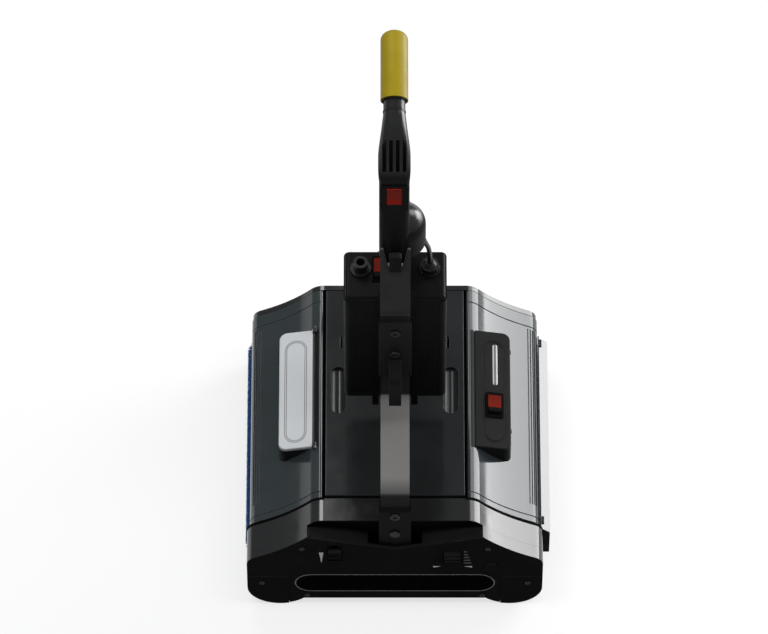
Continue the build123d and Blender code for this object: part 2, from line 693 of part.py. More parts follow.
def clean_tank():
    tank = along_y(tank_outline(), TANK_Y0, TANK_Y1)
    inner_edge = tank.edges().filter_by(Axis.Y).group_by(Axis.X)[0].sort_by(Axis.Z)[-1]
    tank = fillet(inner_edge, TANK_EDGE_R)
    tank -= along_y(tank_outline(TANK_WALL), TANK_Y0 + TANK_WALL, TANK_Y1 - TANK_WALL)
    skin = tank_outline() - tank_outline(GROOVE_DEPTH)
    skin &= rect(TANK_INNER_X + TANK_WALL, END_HALF, TANK_FLOOR_Z + 4, BODY_TOP_Z)
    for y in (TANK_Y0 + 9, TANK_Y1 - 21):
        tank -= along_y(skin, y, y + GROOVE_WIDTH)
    for inset in (15.0, 11.0, 7.5, 5.0):
        x = TANK_HALF - inset
        groove = skin & rect(x - GROOVE_WIDTH / 2, x + GROOVE_WIDTH / 2, TANK_FLOOR_Z + 12, BODY_TOP_Z)
        tank -= along_y(groove, TANK_Y0 + 30, TANK_Y1 - 25)
    ledge = rect(TANK_INNER_X - LEDGE_REACH, TANK_INNER_X, LEDGE_Z - LEDGE_T, LEDGE_Z)
    tank += along_y(ledge, TANK_Y0, TANK_Y1)
    foot_x = TANK_INNER_X + TANK_FOOT[0]
    foot_z = TANK_FLOOR_Z + TANK_FOOT[1] / 2
    return tank + block(foot_x, foot_x + TANK_FOOT[0], DECK_Y, TANK_Y0, foot_z, foot_z + TANK_FOOT[1])


def mouth_rim(radius):
    x = CONSOLE_X0 + CONSOLE_WIDTH / 2
    return rod_z(x, CONSOLE_Y, radius, TANK_FLOOR_Z + 20, BODY_TOP_Z - 22)


def hinge_ear(y0, y1):
    """Ear on the tank's crown that holds one end of a hinge pin."""
    ear = rect(HINGE_X - KNUCKLE_R, HINGE_X + KNUCKLE_R, BODY_TOP_Z - 12, HINGE_Z)
    ear = (ear - tank_outline(0.2)) + Pos(HINGE_X, HINGE_Z) * Circle(KNUCKLE_R)
    return along_y(ear - tank_outline(0.2) - Pos(HINGE_X, HINGE_Z) * Circle(PIN_R + RUN_FIT), y0, y1)


EARS = [
    (CONSOLE_Y0 - EAR_GAP - EAR_T, CONSOLE_Y0 - EAR_GAP),
    (CONSOLE_Y1 + EAR_GAP, CONSOLE_Y1 + EAR_GAP + EAR_T),
]


def filler_tank():
    """Clean tank with a filler mouth and the lid's hinge ears, built on the right and mirrored."""
    tank = clean_tank() + (mouth_rim(MOUTH_R + 2.5) - along_y(tank_outline(0.5), TANK_Y0, TANK_Y1))
    tank -= mouth_rim(MOUTH_R)
    for y0, y1 in EARS:
        tank += hinge_ear(y0, y1)
    return other_side(tank)


# Consoles
CONSOLE_MID_Z = BODY_TOP_Z - (CONSOLE_IN_DROP + CONSOLE_OUT_DROP) / 2
TOP_PLANE = Plane(
    origin=(CONSOLE_X0 + CONSOLE_WIDTH / 2, CONSOLE_Y, CONSOLE_MID_Z),
    x_dir=(cos(CONSOLE_TILT), 0, -sin(CONSOLE_TILT)),
    z_dir=(sin(CONSOLE_TILT), 0, cos(CONSOLE_TILT)),
)
CONSOLE_SWITCH = TOP_PLANE.location * Pos(CONSOLE_TOP_X, CONSOLE_ROCKER_Y, 0)


def console_shell():
    """Wedge-shaped cover that sits on the right tank's slope, open underneath."""
    low = TANK_FLOOR_Z + 10
    top_in = BODY_TOP_Z - CONSOLE_IN_DROP
    top_out = BODY_TOP_Z - CONSOLE_OUT_DROP
    outer = [(CONSOLE_X0, low), (CONSOLE_X0, top_in), (CONSOLE_X1, top_out), (CONSOLE_X1, low)]
    section = make_face(Polyline(outer, close=True)) - tank_outline(-CONSOLE_GAP)
    wedge = along_y(section, CONSOLE_Y0, CONSOLE_Y1)
    wedge = fillet(wedge.edges().filter_by(Axis.Z).sort_by(Axis.X)[-2:], CONSOLE_CORNER_R)
    top = wedge.faces().filter_by(TOP_PLANE).sort_by(Axis.Z)[-1]
    wedge = fillet(top.edges().sort_by(Axis.X)[1:], 1.5)
    wall = CONSOLE_WALL
    inner = [
        (CONSOLE_X0 + wall, low),
        (CONSOLE_X0 + wall, top_in - wall - 1),
        (CONSOLE_X1 - wall, top_out - wall),
        (CONSOLE_X1 - wall, low),
    ]
    hollow = along_y(make_face(Polyline(inner, close=True)), CONSOLE_Y0 + wall, CONSOLE_Y1 - wall)
    wedge -= fillet(hollow.edges().filter_by(Axis.Z).sort_by(Axis.X)[-2:], CONSOLE_CORNER_R - wall)
    for length, width in RING_SIZES:
        groove = SlotOverall(length, width, rotation=90)
        groove -= SlotOverall(length - 2 * RING_GROOVE, width - 2 * RING_GROOVE, rotation=90)
        wedge -= extrude(TOP_PLANE * Pos(CONSOLE_TOP_X, RING_Y) * groove, amount=-RING_DEPTH)
    return wedge


def above_lid_seat(gap):
    """Everything above the plane where the filler lid meets its console."""
    seat = TOP_PLANE.offset(-LID_RIM - gap)
    return extrude(seat * Rectangle(4 * CONSOLE_WIDTH, 2 * CONSOLE_LENGTH), amount=BODY_TOP_Z / 2)


def lid_catches(piece):
    """The piece with two small catches on its outer side."""
    out, length, height = CATCH
    z0 = BODY_TOP_Z - CONSOLE_OUT_DROP - LID_RIM - 5 * height
    for y0 in (CONSOLE_Y0 + 44.0, CONSOLE_Y1 - 16.0 - length):
        piece += block(CONSOLE_X1 - 1, CONSOLE_X1 + out, y0, y0 + length, z0, z0 + height)
    return piece


def hinge_strip():
    """Dark strip on the tank's crown along a console's inner side."""
    strip = tank_outline(-SEAT_GAP - STRIP_T) - tank_outline(-SEAT_GAP)
    strip &= rect(CONSOLE_X0 - STRIP_IN, CONSOLE_X0 - STRIP_OUT, LEDGE_Z, BODY_TOP_Z)
    return along_y(strip, CONSOLE_Y0, CONSOLE_Y1)


def left_console():
    """Fixed base under the filler lid, open at the top."""
    return other_side(lid_catches(console_shell() - above_lid_seat(CONSOLE_GAP)))


def filler_lid():
    lid = console_shell() & above_lid_seat(0)
    for y0 in (CONSOLE_Y0, CONSOLE_Y1 - KNUCKLE_LENGTH):
        web = rect(HINGE_X, CONSOLE_X0 + 3, HINGE_Z - 3, HINGE_Z + 0.6)
        knuckle = web + Pos(HINGE_X, HINGE_Z) * Circle(KNUCKLE_R)
        lid += along_y(knuckle, y0, y0 + KNUCKLE_LENGTH)
        lid -= rod_y(HINGE_X, HINGE_Z, PIN_R + RUN_FIT, y0, y0 + KNUCKLE_LENGTH)
    return other_side(lid)


def lid_hinge_pins():
    pins = []
    for ear, inward in ((EARS[0], 1), (EARS[1], -1)):
        y0 = ear[0] if inward > 0 else ear[0] - EAR_GAP - KNUCKLE_LENGTH
        pins.append(rod_y(-HINGE_X, HINGE_Z, PIN_R, y0, y0 + EAR_T + EAR_GAP + KNUCKLE_LENGTH))
    return group(pins)


def rocker_switch(width, length, bezel_x, bezel_y):
    """Frame and rocker about the origin, lying on the XY plane and rocking about X."""
    wall = 1.6
    clear = 0.4
    swing_r = length / 2 - clear
    opening = Rectangle(width + 2 * clear, length + 2 * clear)
    frame = along_z(RectangleRounded(bezel_x, bezel_y, 3) - opening, 0, 2.2)
    sleeve = Rectangle(width + 2 * clear + 2 * wall, length + 2 * clear + 2 * wall) - opening
    frame += along_z(sleeve, -9, 0)
    frame -= along_x(Circle(PIN_R + RUN_FIT), -width, width)
    dish = [(-swing_r, 6.2), (0, 3.6), (swing_r, 6.2), (swing_r, -6), (-swing_r, -6)]
    section = Circle(swing_r) & make_face(Polyline(dish, close=True))
    rocker = along_x(section, -width / 2, width / 2)
    rocker += along_x(Circle(PIN_R), -width / 2 - clear - wall, width / 2 + clear + wall)
    return frame, Rot(ROCKER_TILT, 0, 0) * rocker


def switch_hole(width, length, depth):
    """Cut-out that takes a rocker switch's sleeve with a little room."""
    return along_z(Rectangle(width + 5, length + 5), -depth, 1)


def control_console():
    console = console_shell()
    console -= CONSOLE_SWITCH * switch_hole(*CONSOLE_ROCKER, 6)
    sight = SlotOverall(SIGHT_LENGTH, SIGHT_WIDTH, rotation=90)
    console -= extrude(TOP_PLANE * Pos(SIGHT_X, SIGHT_OFFSET_Y) * sight, amount=-2 * CONSOLE_WALL)
    return lid_catches(console)


def sight_glass():
    sight = SlotOverall(SIGHT_LENGTH - 0.2, SIGHT_WIDTH - 0.2, rotation=90)
    return extrude(TOP_PLANE * Pos(SIGHT_X, SIGHT_OFFSET_Y) * sight, amount=0.6 - CONSOLE_WALL)


# Recovery unit
COVER_Y0 = DECK_Y + COVER_FRONT_GAP
COVER_Y1 = DECK_END_Y - FACE_GAP
RECESS_Y = DECK_MID_Y + RECESS_SHIFT_Y
DISH_R = ((RECESS_WIDTH / 2) ** 2 + RECESS_DEPTH ** 2) / (2 * RECESS_DEPTH)
TUB_Y1 = DECK_END_Y - TUB_BACK_GAP
TUB_Y0 = TUB_Y1 - TUB_LENGTH


def recovery_cover():
    plate = block(-PANEL_HALF, PANEL_HALF, COVER_Y0, COVER_Y1, BODY_TOP_Z - LID_T, BODY_TOP_Z)
    plate = fillet(plate.faces().sort_by(Axis.Z)[-1].edges(), COVER_EDGE_R)
    skirt = block(-PANEL_HALF, PANEL_HALF, COVER_Y0, COVER_Y1, LEDGE_Z, BODY_TOP_Z - LID_T)
    skirt -= block(
        SKIRT_T - PANEL_HALF, PANEL_HALF - SKIRT_T, COVER_Y0 + SKIRT_T, COVER_Y1 - SKIRT_T,
        LEDGE_Z, BODY_TOP_Z - LID_T,
    )
    cover = plate + skirt
    for side in (1, -1):
        at = Pos(side * RECESS_X, RECESS_Y)
        cup = SlotOverall(RECESS_LENGTH + 2 * RECESS_WALL, RECESS_WIDTH + 2 * RECESS_WALL, rotation=90)
        cover += along_z(at * cup, BODY_TOP_Z - RECESS_DEPTH - RECESS_WALL, BODY_TOP_Z - LID_T)
        mouth = SlotOverall(RECESS_LENGTH, RECESS_WIDTH, rotation=90)
        hollow = along_z(at * mouth, BODY_TOP_Z - RECESS_DEPTH, BODY_TOP_Z)
        dish_z = BODY_TOP_Z - RECESS_DEPTH + DISH_R
        cover -= hollow & rod_y(side * RECESS_X, dish_z, DISH_R, COVER_Y0, COVER_Y1)
        slot = Pos(side * (RECESS_X - KEY_SLOT_IN), RECESS_Y + KEY_SLOT_BACK)
        slot *= SlotOverall(*KEY_SLOT, rotation=90)
        cover -= along_z(slot, BODY_TOP_Z - LID_T, BODY_TOP_Z)
    return cover


def tub_outline(wall):
    """Main chamber over the drum with a pocket that reaches down beside it."""
    top = BODY_TOP_Z - LID_T
    main = rect(wall - TUB_HALF, TUB_HALF - wall, DRUM_Z + DRUM_R + 5 + wall, top)
    pocket_x1 = TANK_INNER_X - LEDGE_REACH - POCKET_GAP - wall
    pocket_z1 = LEDGE_Z - LEDGE_T - 2 * POCKET_GAP - wall
    pocket = rect(TUB_HALF - POCKET_LAP + wall, pocket_x1, POCKET_FLOOR_Z + wall, pocket_z1)
    return main + pocket


def recovery_tub():
    tub = along_y(tub_outline(0), TUB_Y0, TUB_Y1)
    tub -= along_y(tub_outline(TUB_WALL), TUB_Y0 + TUB_WALL, TUB_Y1 - TUB_WALL)
    inlet_z = DRUM_Z + DRUM_R * cos(radians(SCRAPE_DEG)) - 9.0
    inlet_x = TUB_HALF - POCKET_LAP
    return tub - block(
        inlet_x - 1, inlet_x + TUB_WALL, TUB_Y0 + 8, TUB_Y1 - 8, inlet_z, inlet_z + 8
    )


# Splash guard
GUARD_Y0 = DECK_Y + SEAT_GAP
GUARD_Y1 = DECK_END_Y - GUARD_END_GAP


def splash_guard():
    """Bent sheet over the right brush: a flange on the tank's side, a slope, an apron and a front wall."""
    side = TANK_HALF + SEAT_GAP + GUARD_T / 2
    outer = END_HALF + GUARD_OUT - GUARD_T / 2
    bend_z = TANK_FLOOR_Z + GUARD_BEND
    flange = [(side, bend_z + GUARD_FLANGE), (side, bend_z)]
    apron = [(outer, bend_z - GUARD_SLOPE), (outer, GUARD_FOOT_Z)]
    sheet = along_y(trace(Polyline(flange + apron), GUARD_T), GUARD_Y0, GUARD_Y1)
    inner = END_HALF - GUARD_END_IN
    under = TANK_FLOOR_Z - TANK_BRUSH_GAP
    wall = [(side, bend_z), *apron, (inner, GUARD_FOOT_Z), (inner, under), (side, under)]
    return sheet + along_y(make_face(Polyline(wall, close=True)), GUARD_Y0, GUARD_Y0 + GUARD_T)


def guard_clips():
    """Two clips that press the guard's flange to the tank."""
    x0 = TANK_HALF + SEAT_GAP + GUARD_T
    clips = []
    z1 = TANK_FLOOR_Z + GUARD_BEND + GUARD_FLANGE
    for y in (GUARD_Y0 + CLIP[1] / 2, GUARD_Y1 - 1.5 * CLIP[1]):
        clips.append(block(x0, x0 + CLIP[0], y, y + CLIP[1], z1 - CLIP[2], z1))
    return clips


# Stirrup
def bar(leg_y, post_y):
    """Flat bar: round foot at the pivot, upright leg, slope and upright post."""
    bend_z = BODY_TOP_Z + BEND_RISE
    post_z = BODY_TOP_Z + POST_RISE
    points = [(leg_y, PIVOT_Z), (leg_y, bend_z), (post_y, post_z), (post_y, POST_TOP_Z)]
    path = FilletPolyline(points, radius=[LOWER_BEND_R, UPPER_BEND_R])
    strip = along_x(trace(path, BAR_T), -BAR_WIDTH / 2, BAR_WIDTH / 2)
    strip += rod_y(0, PIVOT_Z, BAR_WIDTH / 2, leg_y - BAR_T / 2, leg_y + BAR_T / 2)
    return strip - rod_y(0, PIVOT_Z, PIVOT_R + RUN_FIT, leg_y - BAR_T / 2, leg_y + BAR_T / 2)


LEG_SCREW_Z = BODY_TOP_Z + 35.0
HOOK_SCREWS_Z = (BODY_TOP_Z + 307.0, BODY_TOP_Z + 249.0)


def leg_bracket(leg_y, outward, thickness):
    """Channel on the outer face of a leg, with a bevelled top between two ears."""
    top_z = BODY_TOP_Z + BRACKET_RISE
    half = BAR_WIDTH / 2 + BRACKET_SIDE
    foot_z = PIVOT_Z - LEG_FOOT
    outline = Pos(0, (foot_z + top_z) / 2) * RectangleRounded(2 * half, top_z - foot_z, FOOT_R)
    outline += rect(-half, half, PIVOT_Z, top_z)
    face_y = leg_y + outward * BAR_T / 2
    outer_y = face_y + outward * thickness
    web = sorted((face_y, outer_y))
    sides = sorted((leg_y - outward * BAR_T / 2, face_y))
    bracket = along_y(outline, *web)
    for side in (1, -1):
        x = sorted((side * BAR_WIDTH / 2, side * half))
        bracket += along_y(rect(*x, PIVOT_Z, top_z + BRACKET_EAR), *sides)
    bevel = [(outer_y, top_z), (outer_y, top_z - BRACKET_BEVEL), (outer_y - outward * BRACKET_BEVEL, top_z)]
    bracket -= along_x(make_face(Polyline(bevel, close=True)), -half, half)
    bracket -= rod_y(0, LEG_SCREW_Z, STIRRUP_SHANK_R + SCREW_CLEAR, *web)
    return bracket - rod_y(0, PIVOT_Z, PIVOT_R + RUN_FIT, *web)


def hook(points, radius, width, thickness):
    """Round-cornered finger of one thickness along a (Y, Z) path."""
    return along_x(trace(FilletPolyline(points, radius=radius), thickness), -width / 2, width / 2)


POST_FACE_Y = POST_Y - BAR_T / 2
HOOK_FACE_Y = POST_FACE_Y - 4.0
PLATE_FACE_Y = POST_FACE_Y - 3.0


def hook_bracket():
    z0 = BODY_TOP_Z + 188.0
    z1 = BODY_TOP_Z + 337.0
    plate = along_y(RectangleRounded(2 * HOOK_BRACKET_HALF, z1 - z0, 4), HOOK_FACE_Y, POST_FACE_Y)
    bracket = Pos(0, 0, (z0 + z1) / 2) * plate
    for side in (1, -1):
        x = sorted((side * BAR_WIDTH / 2, side * HOOK_BRACKET_HALF))
        bracket += block(*x, POST_FACE_Y, POST_Y + BAR_T / 2, z0 + 30, z1 - 4)
    for z in HOOK_SCREWS_Z:
        bracket -= rod_y(0, z, STIRRUP_SHANK_R + SCREW_CLEAR, HOOK_FACE_Y, POST_FACE_Y)
    root_z = BODY_TOP_Z + 234.0
    tip_y = HOOK_FACE_Y - 34.0
    points = [(HOOK_FACE_Y, root_z), (tip_y, root_z - 6), (tip_y - 2, root_z - 62)]
    return bracket + hook(points, 14, 18, 9)


def upper_plate():
    """Dark plate on the post: half-round lip below, tapered notch above, upper cable hook in it."""
    z0 = BODY_TOP_Z + 353.0
    half = BAR_WIDTH / 2 + 0.5
    right = [(NOTCH_FOOT, NOTCH_Z), (NOTCH_HALF, PLATE_TOP_Z)]
    notch = [(-NOTCH_HALF, PLATE_TOP_Z), (-NOTCH_FOOT, NOTCH_Z), *right]
    outline = rect(-half, half, z0, PLATE_TOP_Z) - make_face(Polyline(notch, close=True))
    plate = along_y(outline, PLATE_FACE_Y, POST_FACE_Y)
    lip = along_z(Circle(half) & rect(-half, half, -11, -3), z0 - 6, z0 + 3)
    plate += Pos(0, POST_FACE_Y + 1, 0) * lip
    arm_z = PLATE_TOP_Z - 19.0
    tip_y = POST_FACE_Y - UPPER_HOOK_REACH
    points = [(POST_FACE_Y, arm_z), (tip_y, arm_z), (tip_y, arm_z + UPPER_HOOK_RISE)]
    finger = hook(points, 10, 2 * NOTCH_FOOT - 2, 9)
    plate += fillet(finger.edges().filter_by(Axis.Y).group_by(Axis.Z)[-1], UPPER_HOOK_ROUND)
    foot_z = NOTCH_Z - 8.0
    gusset = [(POST_FACE_Y, arm_z), (tip_y + 6, arm_z), (PLATE_FACE_Y - 1, foot_z), (POST_FACE_Y, foot_z)]
    return plate + along_x(make_face(Polyline(gusset, close=True)), 1 - NOTCH_FOOT, NOTCH_FOOT - 1)


def post_spacer(y0, y1, rise):
    """Black spacer between a post and the boiler."""
    side = BAR_WIDTH / 2 + SPACER_SIDE
    return block(-side, side, y0, y1, BODY_TOP_Z + 206.0, BOILER_TOP_Z + rise)


def stirrup_screws():
    pattern = screw(STIRRUP_SCREW_R, STIRRUP_SHANK_R, 2.4, REAR_BRACKET_T)
    screws = [Pos(0, HOOK_FACE_Y, z) * pattern for z in HOOK_SCREWS_Z]
    screws.append(Pos(0, LEG_Y - BAR_T / 2 - FRONT_BRACKET_T, LEG_SCREW_Z) * pattern)
    rear_face = REAR_LEG_Y + BAR_T / 2 + REAR_BRACKET_T
    screws.append(Pos(0, rear_face, LEG_SCREW_Z) * Rot(0, 0, 180) * pattern)
    return group(screws)


# Boiler
CASE_Z0 = BOILER_Z + BOILER_PAN
CASE_Z1 = BOILER_TOP_Z - BOILER_CAP
SOCKET_Y = BOILER_MID_Y + BOILER_DEPTH / 2 - SOCKET_BACK
BOILER_SWITCH = Pos(BOILER_SWITCH_X, SOCKET_Y, BOILER_TOP_Z)


def boiler_outline(inset=0.0):
    width = BOILER_WIDTH - 2 * inset
    depth = BOILER_DEPTH - 2 * inset
    return Pos(0, BOILER_MID_Y) * RectangleRounded(width, depth, BOILER_CORNER_R - inset)


def rib_grooves():
    """Grooves between the upright ribs on all four walls of the boiler case."""
    grooves = []
    for span, other, turned in ((BOILER_WIDTH, BOILER_DEPTH, False), (BOILER_DEPTH, BOILER_WIDTH, True)):
        count = int((span - 2 * BOILER_CORNER_R) / RIB_PITCH)
        for i in range(count):
            at = (i - (count - 1) / 2) * RIB_PITCH
            for side in (1, -1):
                edge = side * other / 2
                size = (RIB_PITCH / 2, 2 * RIB_DEPTH)
                place = (edge, at) if turned else (at, edge)
                shape = Rectangle(*reversed(size)) if turned else Rectangle(*size)
                grooves.append(Pos(place[0], BOILER_MID_Y + place[1]) * shape)
    return grooves


def boiler_case():
    ribbed = boiler_outline() - rib_grooves()
    return along_z(ribbed - boiler_outline(BOILER_WALL), CASE_Z0, CASE_Z1)


def boiler_pan():
    pan = along_z(boiler_outline(), BOILER_Z, CASE_Z0)
    pan = fillet(pan.faces().sort_by(Axis.Z)[0].edges(), BOILER_EDGE_R)
    for side in (1, -1):
        x = sorted((side * BOILER_FOOT_X[0], side * BOILER_FOOT_X[1]))
        pan += block(*x, BOILER_Y + 4, BOILER_Y + 16, BOILER_Z - BOILER_FOOT, BOILER_Z + 6)
    return pan


def boiler_cap():
    cap = along_z(boiler_outline(CAP_INSET), CASE_Z1, BOILER_TOP_Z)
    cap = fillet(cap.faces().sort_by(Axis.Z)[-1].edges(), BOILER_EDGE_R)
    return cap - BOILER_SWITCH * switch_hole(*BOILER_ROCKER, 12)


def boiler_vessel():
    vessel = rod_z(0, BOILER_MID_Y, VESSEL_R, HEATER_TOP_Z, CASE_Z1 - VESSEL_HEADROOM)
    return fillet(vessel.faces().sort_by(Axis.Z)[-1].edges(), VESSEL_R * 0.6)


def heater():
    return rod_z(0, BOILER_MID_Y, VESSEL_R - 4, CASE_Z0, HEATER_TOP_Z)


def mains_inlet():
    """Empty round connector on the boiler's top."""
    top_z = BOILER_TOP_Z + INLET_HEIGHT
    inlet = rod_z(-SOCKET_X, SOCKET_Y, COLLAR_R, BOILER_TOP_Z, BOILER_TOP_Z + COLLAR_T)
    inlet += rod_z(-SOCKET_X, SOCKET_Y, INLET_R, BOILER_TOP_Z, top_z)
    return inlet - rod_z(-SOCKET_X, SOCKET_Y, INLET_BORE_R, BOILER_TOP_Z + INLET_FLOOR, top_z)


def lead_socket():
    return rod_z(SOCKET_X, SOCKET_Y, COLLAR_R, BOILER_TOP_Z, BOILER_TOP_Z + COLLAR_T)


def lead_plug():
    at = Pos(SOCKET_X, SOCKET_Y)
    body_z1 = BOILER_TOP_Z + PLUG_HEIGHT
    plug = along_z(at * Circle(PLUG_R), BOILER_TOP_Z + COLLAR_T, body_z1)
    grips = Sketch() + PolarLocations(PLUG_R, 14) * Rectangle(2.4, 2.0)
    plug -= along_z(at * grips, BOILER_TOP_Z + COLLAR_T + 2, body_z1)
    cone_height = PLUG_TOP - PLUG_HEIGHT
    return plug + at * Pos(0, 0, body_z1 + cone_height / 2) * Cone(PLUG_R - 3, LEAD_R + 2, cone_height)


# Handle
BASE_Y0 = POST_Y + BAR_T / 2
NECK_BEND_Z = NECK_BASE_Z + NECK_STRAIGHT
NECK_TURN = radians(NECK_TURN_DEG)
SEAM_Y = HANDLE_Y + NECK_BEND_R * (1 - cos(NECK_TURN))
SEAM_Z = NECK_BEND_Z + NECK_BEND_R * sin(NECK_TURN)
GRIP_BEND_R = GRIP_LENGTH / (radians(90) - NECK_TURN)
SWITCH_Z = NECK_BASE_Z + HANDLE_SWITCH_RISE
HANDLE_SWITCH = Plane(origin=(HANDLE_X, BASE_Y0, SWITCH_Z), x_dir=(1, 0, 0), z_dir=(0, -1, 0)).location


def handle_base():
    """Domed barrel beside the foot of the switch column, on the bridge clamped between the posts."""
    barrel = rod_z(BARREL_X, BARREL_Y, BARREL_R, BARREL_Z, BARREL_TOP_Z)
    barrel += Pos(BARREL_X, BARREL_Y, BARREL_TOP_Z) * Sphere(BARREL_R)
    head = RectangleRounded(HANDLE_WIDTH, HANDLE_DEPTH, HANDLE_CORNER_R)
    column = along_z(Pos(HANDLE_X, HANDLE_Y) * head, BARREL_Z, NECK_BASE_Z)
    rear_y = REAR_POST_Y - BAR_T / 2
    bridge = block(-BRIDGE_HALF, BRIDGE_HALF, BASE_Y0, rear_y, BRIDGE_Z, BRIDGE_Z + BRIDGE_HEIGHT)
    return barrel + column + bridge


def neck_plane(turn_deg):
    """Plane across the neck where its axis has leaned back by turn_deg."""
    turn = radians(turn_deg)
    y = HANDLE_Y + NECK_BEND_R * (1 - cos(turn))
    z = NECK_BEND_Z + NECK_BEND_R * sin(turn)
    return Plane(origin=(HANDLE_X, y, z), x_dir=(1, 0, 0), z_dir=(0, sin(turn), cos(turn)))


def handle_neck():
    """Switch column that leans back and tapers from a rounded square to the round neck."""
    square = RectangleRounded(HANDLE_WIDTH, HANDLE_DEPTH, HANDLE_CORNER_R)
    column = along_z(Pos(HANDLE_X, HANDLE_Y) * square, NECK_BASE_Z, NECK_BEND_Z)
    sections = [
        neck_plane(0) * square,
        neck_plane(NECK_TURN_DEG * 0.35) * RectangleRounded(HANDLE_WIDTH + 2, HANDLE_DEPTH - 2, 11),
        neck_plane(NECK_TURN_DEG * 0.7) * RectangleRounded(HANDLE_WIDTH - 5, HANDLE_DEPTH - 8, 15),
        neck_plane(NECK_TURN_DEG) * RectangleRounded(2 * NECK_R, 2 * NECK_R, NECK_R - 0.1),
    ]
    neck = column + loft(sections)
    mid = neck_plane(NECK_TURN_DEG * 0.42)
    for i in range(4):
        x = (i - 1.5) * NECK_SLOT_PITCH
        slot = Pos(x, -HANDLE_DEPTH / 2, 0) * Box(NECK_SLOT_WIDTH, 2 * NECK_SLOT_DEPTH, NECK_SLOT_LENGTH)
        neck -= mid * slot
    return neck - HANDLE_SWITCH * switch_hole(*HANDLE_ROCKER, 14)


def grip_run(radius, start, end):
    """Round bar along the grip's arc between two distances from the seam."""
    heading = radians(90) - NECK_TURN
    at_start = heading - start / GRIP_BEND_R
    y = SEAM_Y + GRIP_BEND_R * (sin(heading) - sin(at_start))
    z = SEAM_Z + GRIP_BEND_R * (cos(at_start) - cos(heading))
    turn = degrees((end - start) / GRIP_BEND_R)
    arc = JernArc((y, z), (cos(at_start), sin(at_start)), GRIP_BEND_R, -turn)
    path = Plane.YZ.offset(HANDLE_X) * arc
    section = Plane(origin=path @ 0, z_dir=path % 0) * Circle(radius)
    return sweep(section, path=path)


def handle_grip():
    sleeve = grip_run(GRIP_R, GRIP_START, GRIP_LENGTH)
    sleeve = fillet(sleeve.edges().sort_by(Axis.Y)[-1], GRIP_END_R)
    return sleeve - grip_run(CORE_TUBE_R + RUN_FIT, GRIP_START, GRIP_LENGTH - GRIP_END_WALL)


def handle_tube():
    """Seam ring, short bare neck, collar at the grip's rim and the core inside the grip."""
    tube = grip_run(NECK_R + SEAM_LIP, 0, SEAM_T)
    tube += grip_run(NECK_R, SEAM_T, GRIP_START)
    tube += grip_run(GRIP_R - GRIP_COLLAR_IN, GRIP_START - GRIP_COLLAR, GRIP_START)
    return tube + grip_run(CORE_TUBE_R, GRIP_START, GRIP_LENGTH - 2 * GRIP_END_WALL)


# Lead from the boiler's plug to a gland under the barrel
GLAND_LENGTH = 14.0
GLAND_R = 7.0
GLAND_DIR = Vector(0.2, 0.15, -0.97).normalized()
GLAND_ROOT = Vector(BARREL_X + BARREL_R * 0.77, BARREL_Y + BARREL_R * 0.34, BARREL_Z)
GLAND_END = GLAND_ROOT + GLAND_DIR * GLAND_LENGTH
PLUG_END = Vector(SOCKET_X, SOCKET_Y, BOILER_TOP_Z + PLUG_TOP)
LEAD_POINTS = [GLAND_END, GLAND_END + GLAND_DIR * 20, PLUG_END + Vector(0, 0, 32), PLUG_END]


def lead_radii():
    """Largest bend at each corner that its two runs leave room for."""
    radii = []
    for a, b, c in zip(LEAD_POINTS, LEAD_POINTS[1:], LEAD_POINTS[2:]):
        turn = radians((b - a).get_angle(c - b))
        radii.append(0.45 * min((b - a).length, (c - b).length) / tan(turn / 2))
    return radii


def lead_gland():
    axis = Plane(origin=GLAND_ROOT - GLAND_DIR * 4, z_dir=GLAND_DIR)
    gland = extrude(axis * Circle(GLAND_R), amount=10)
    gland += extrude(axis.offset(10) * Circle(LEAD_R + 1.8), amount=GLAND_LENGTH - 6)
    return gland - handle_base()


def boiler_lead():
    path = FilletPolyline(LEAD_POINTS, radius=lead_radii())
    section = Plane(origin=path @ 0, z_dir=path % 0) * Circle(LEAD_R)
    return sweep(section, path=path)


# Files
def save(name, shape):
    export_step(shape, os.path.join("parts", name + ".step"))


os.makedirs("parts", exist_ok=True)

save("front_cover", front_cover())
save("badge_plate", badge_plate())
save("brush_covers", group([brush_cover(), other_side(brush_cover())]))
save("cover_screws", cover_screws())
save("flow_slider", flow_slider())
save("pressure_wheel", pressure_wheel())
save("push_button", push_button())

save("drive_housing", drive_housing())
save("front_end_plate", front_end_plate())
save("rear_end_plate", rear_end_plate())
save("tie_rods", tie_rods())
save("shaft_bearings", shaft_bearings())
save("pivot_pins", pivot_pins())

right_core = brush_core()
right_bristles = bristle_roll()
save("right_brush_core", right_core)
save("left_brush_core", other_side(right_core))
save("right_bristles", right_bristles)
save("left_bristles", other_side(right_bristles))
save("pickup_drum", drum())
save("scraper", scraper())
save("gearbox", gearbox())
save("motor", motor())
save("right_drive_pulley", drive_pulley(1, [BRUSH_BELT_Y]))
save("left_drive_pulley", drive_pulley(-1, [BRUSH_BELT_Y, DRUM_BELT_Y]))
right_belt = belt((BRUSH_X, BRUSH_Z, BRUSH_PULLEY_R), (DRIVE_X, DRIVE_Z, DRIVE_PULLEY_R), BRUSH_BELT_Y)
drum_belt = belt((0, DRUM_Z, DRUM_PULLEY_R), (-DRIVE_X, DRIVE_Z, DRIVE_PULLEY_R), DRUM_BELT_Y)
save("drive_belts", group([right_belt, other_side(right_belt), drum_belt]))

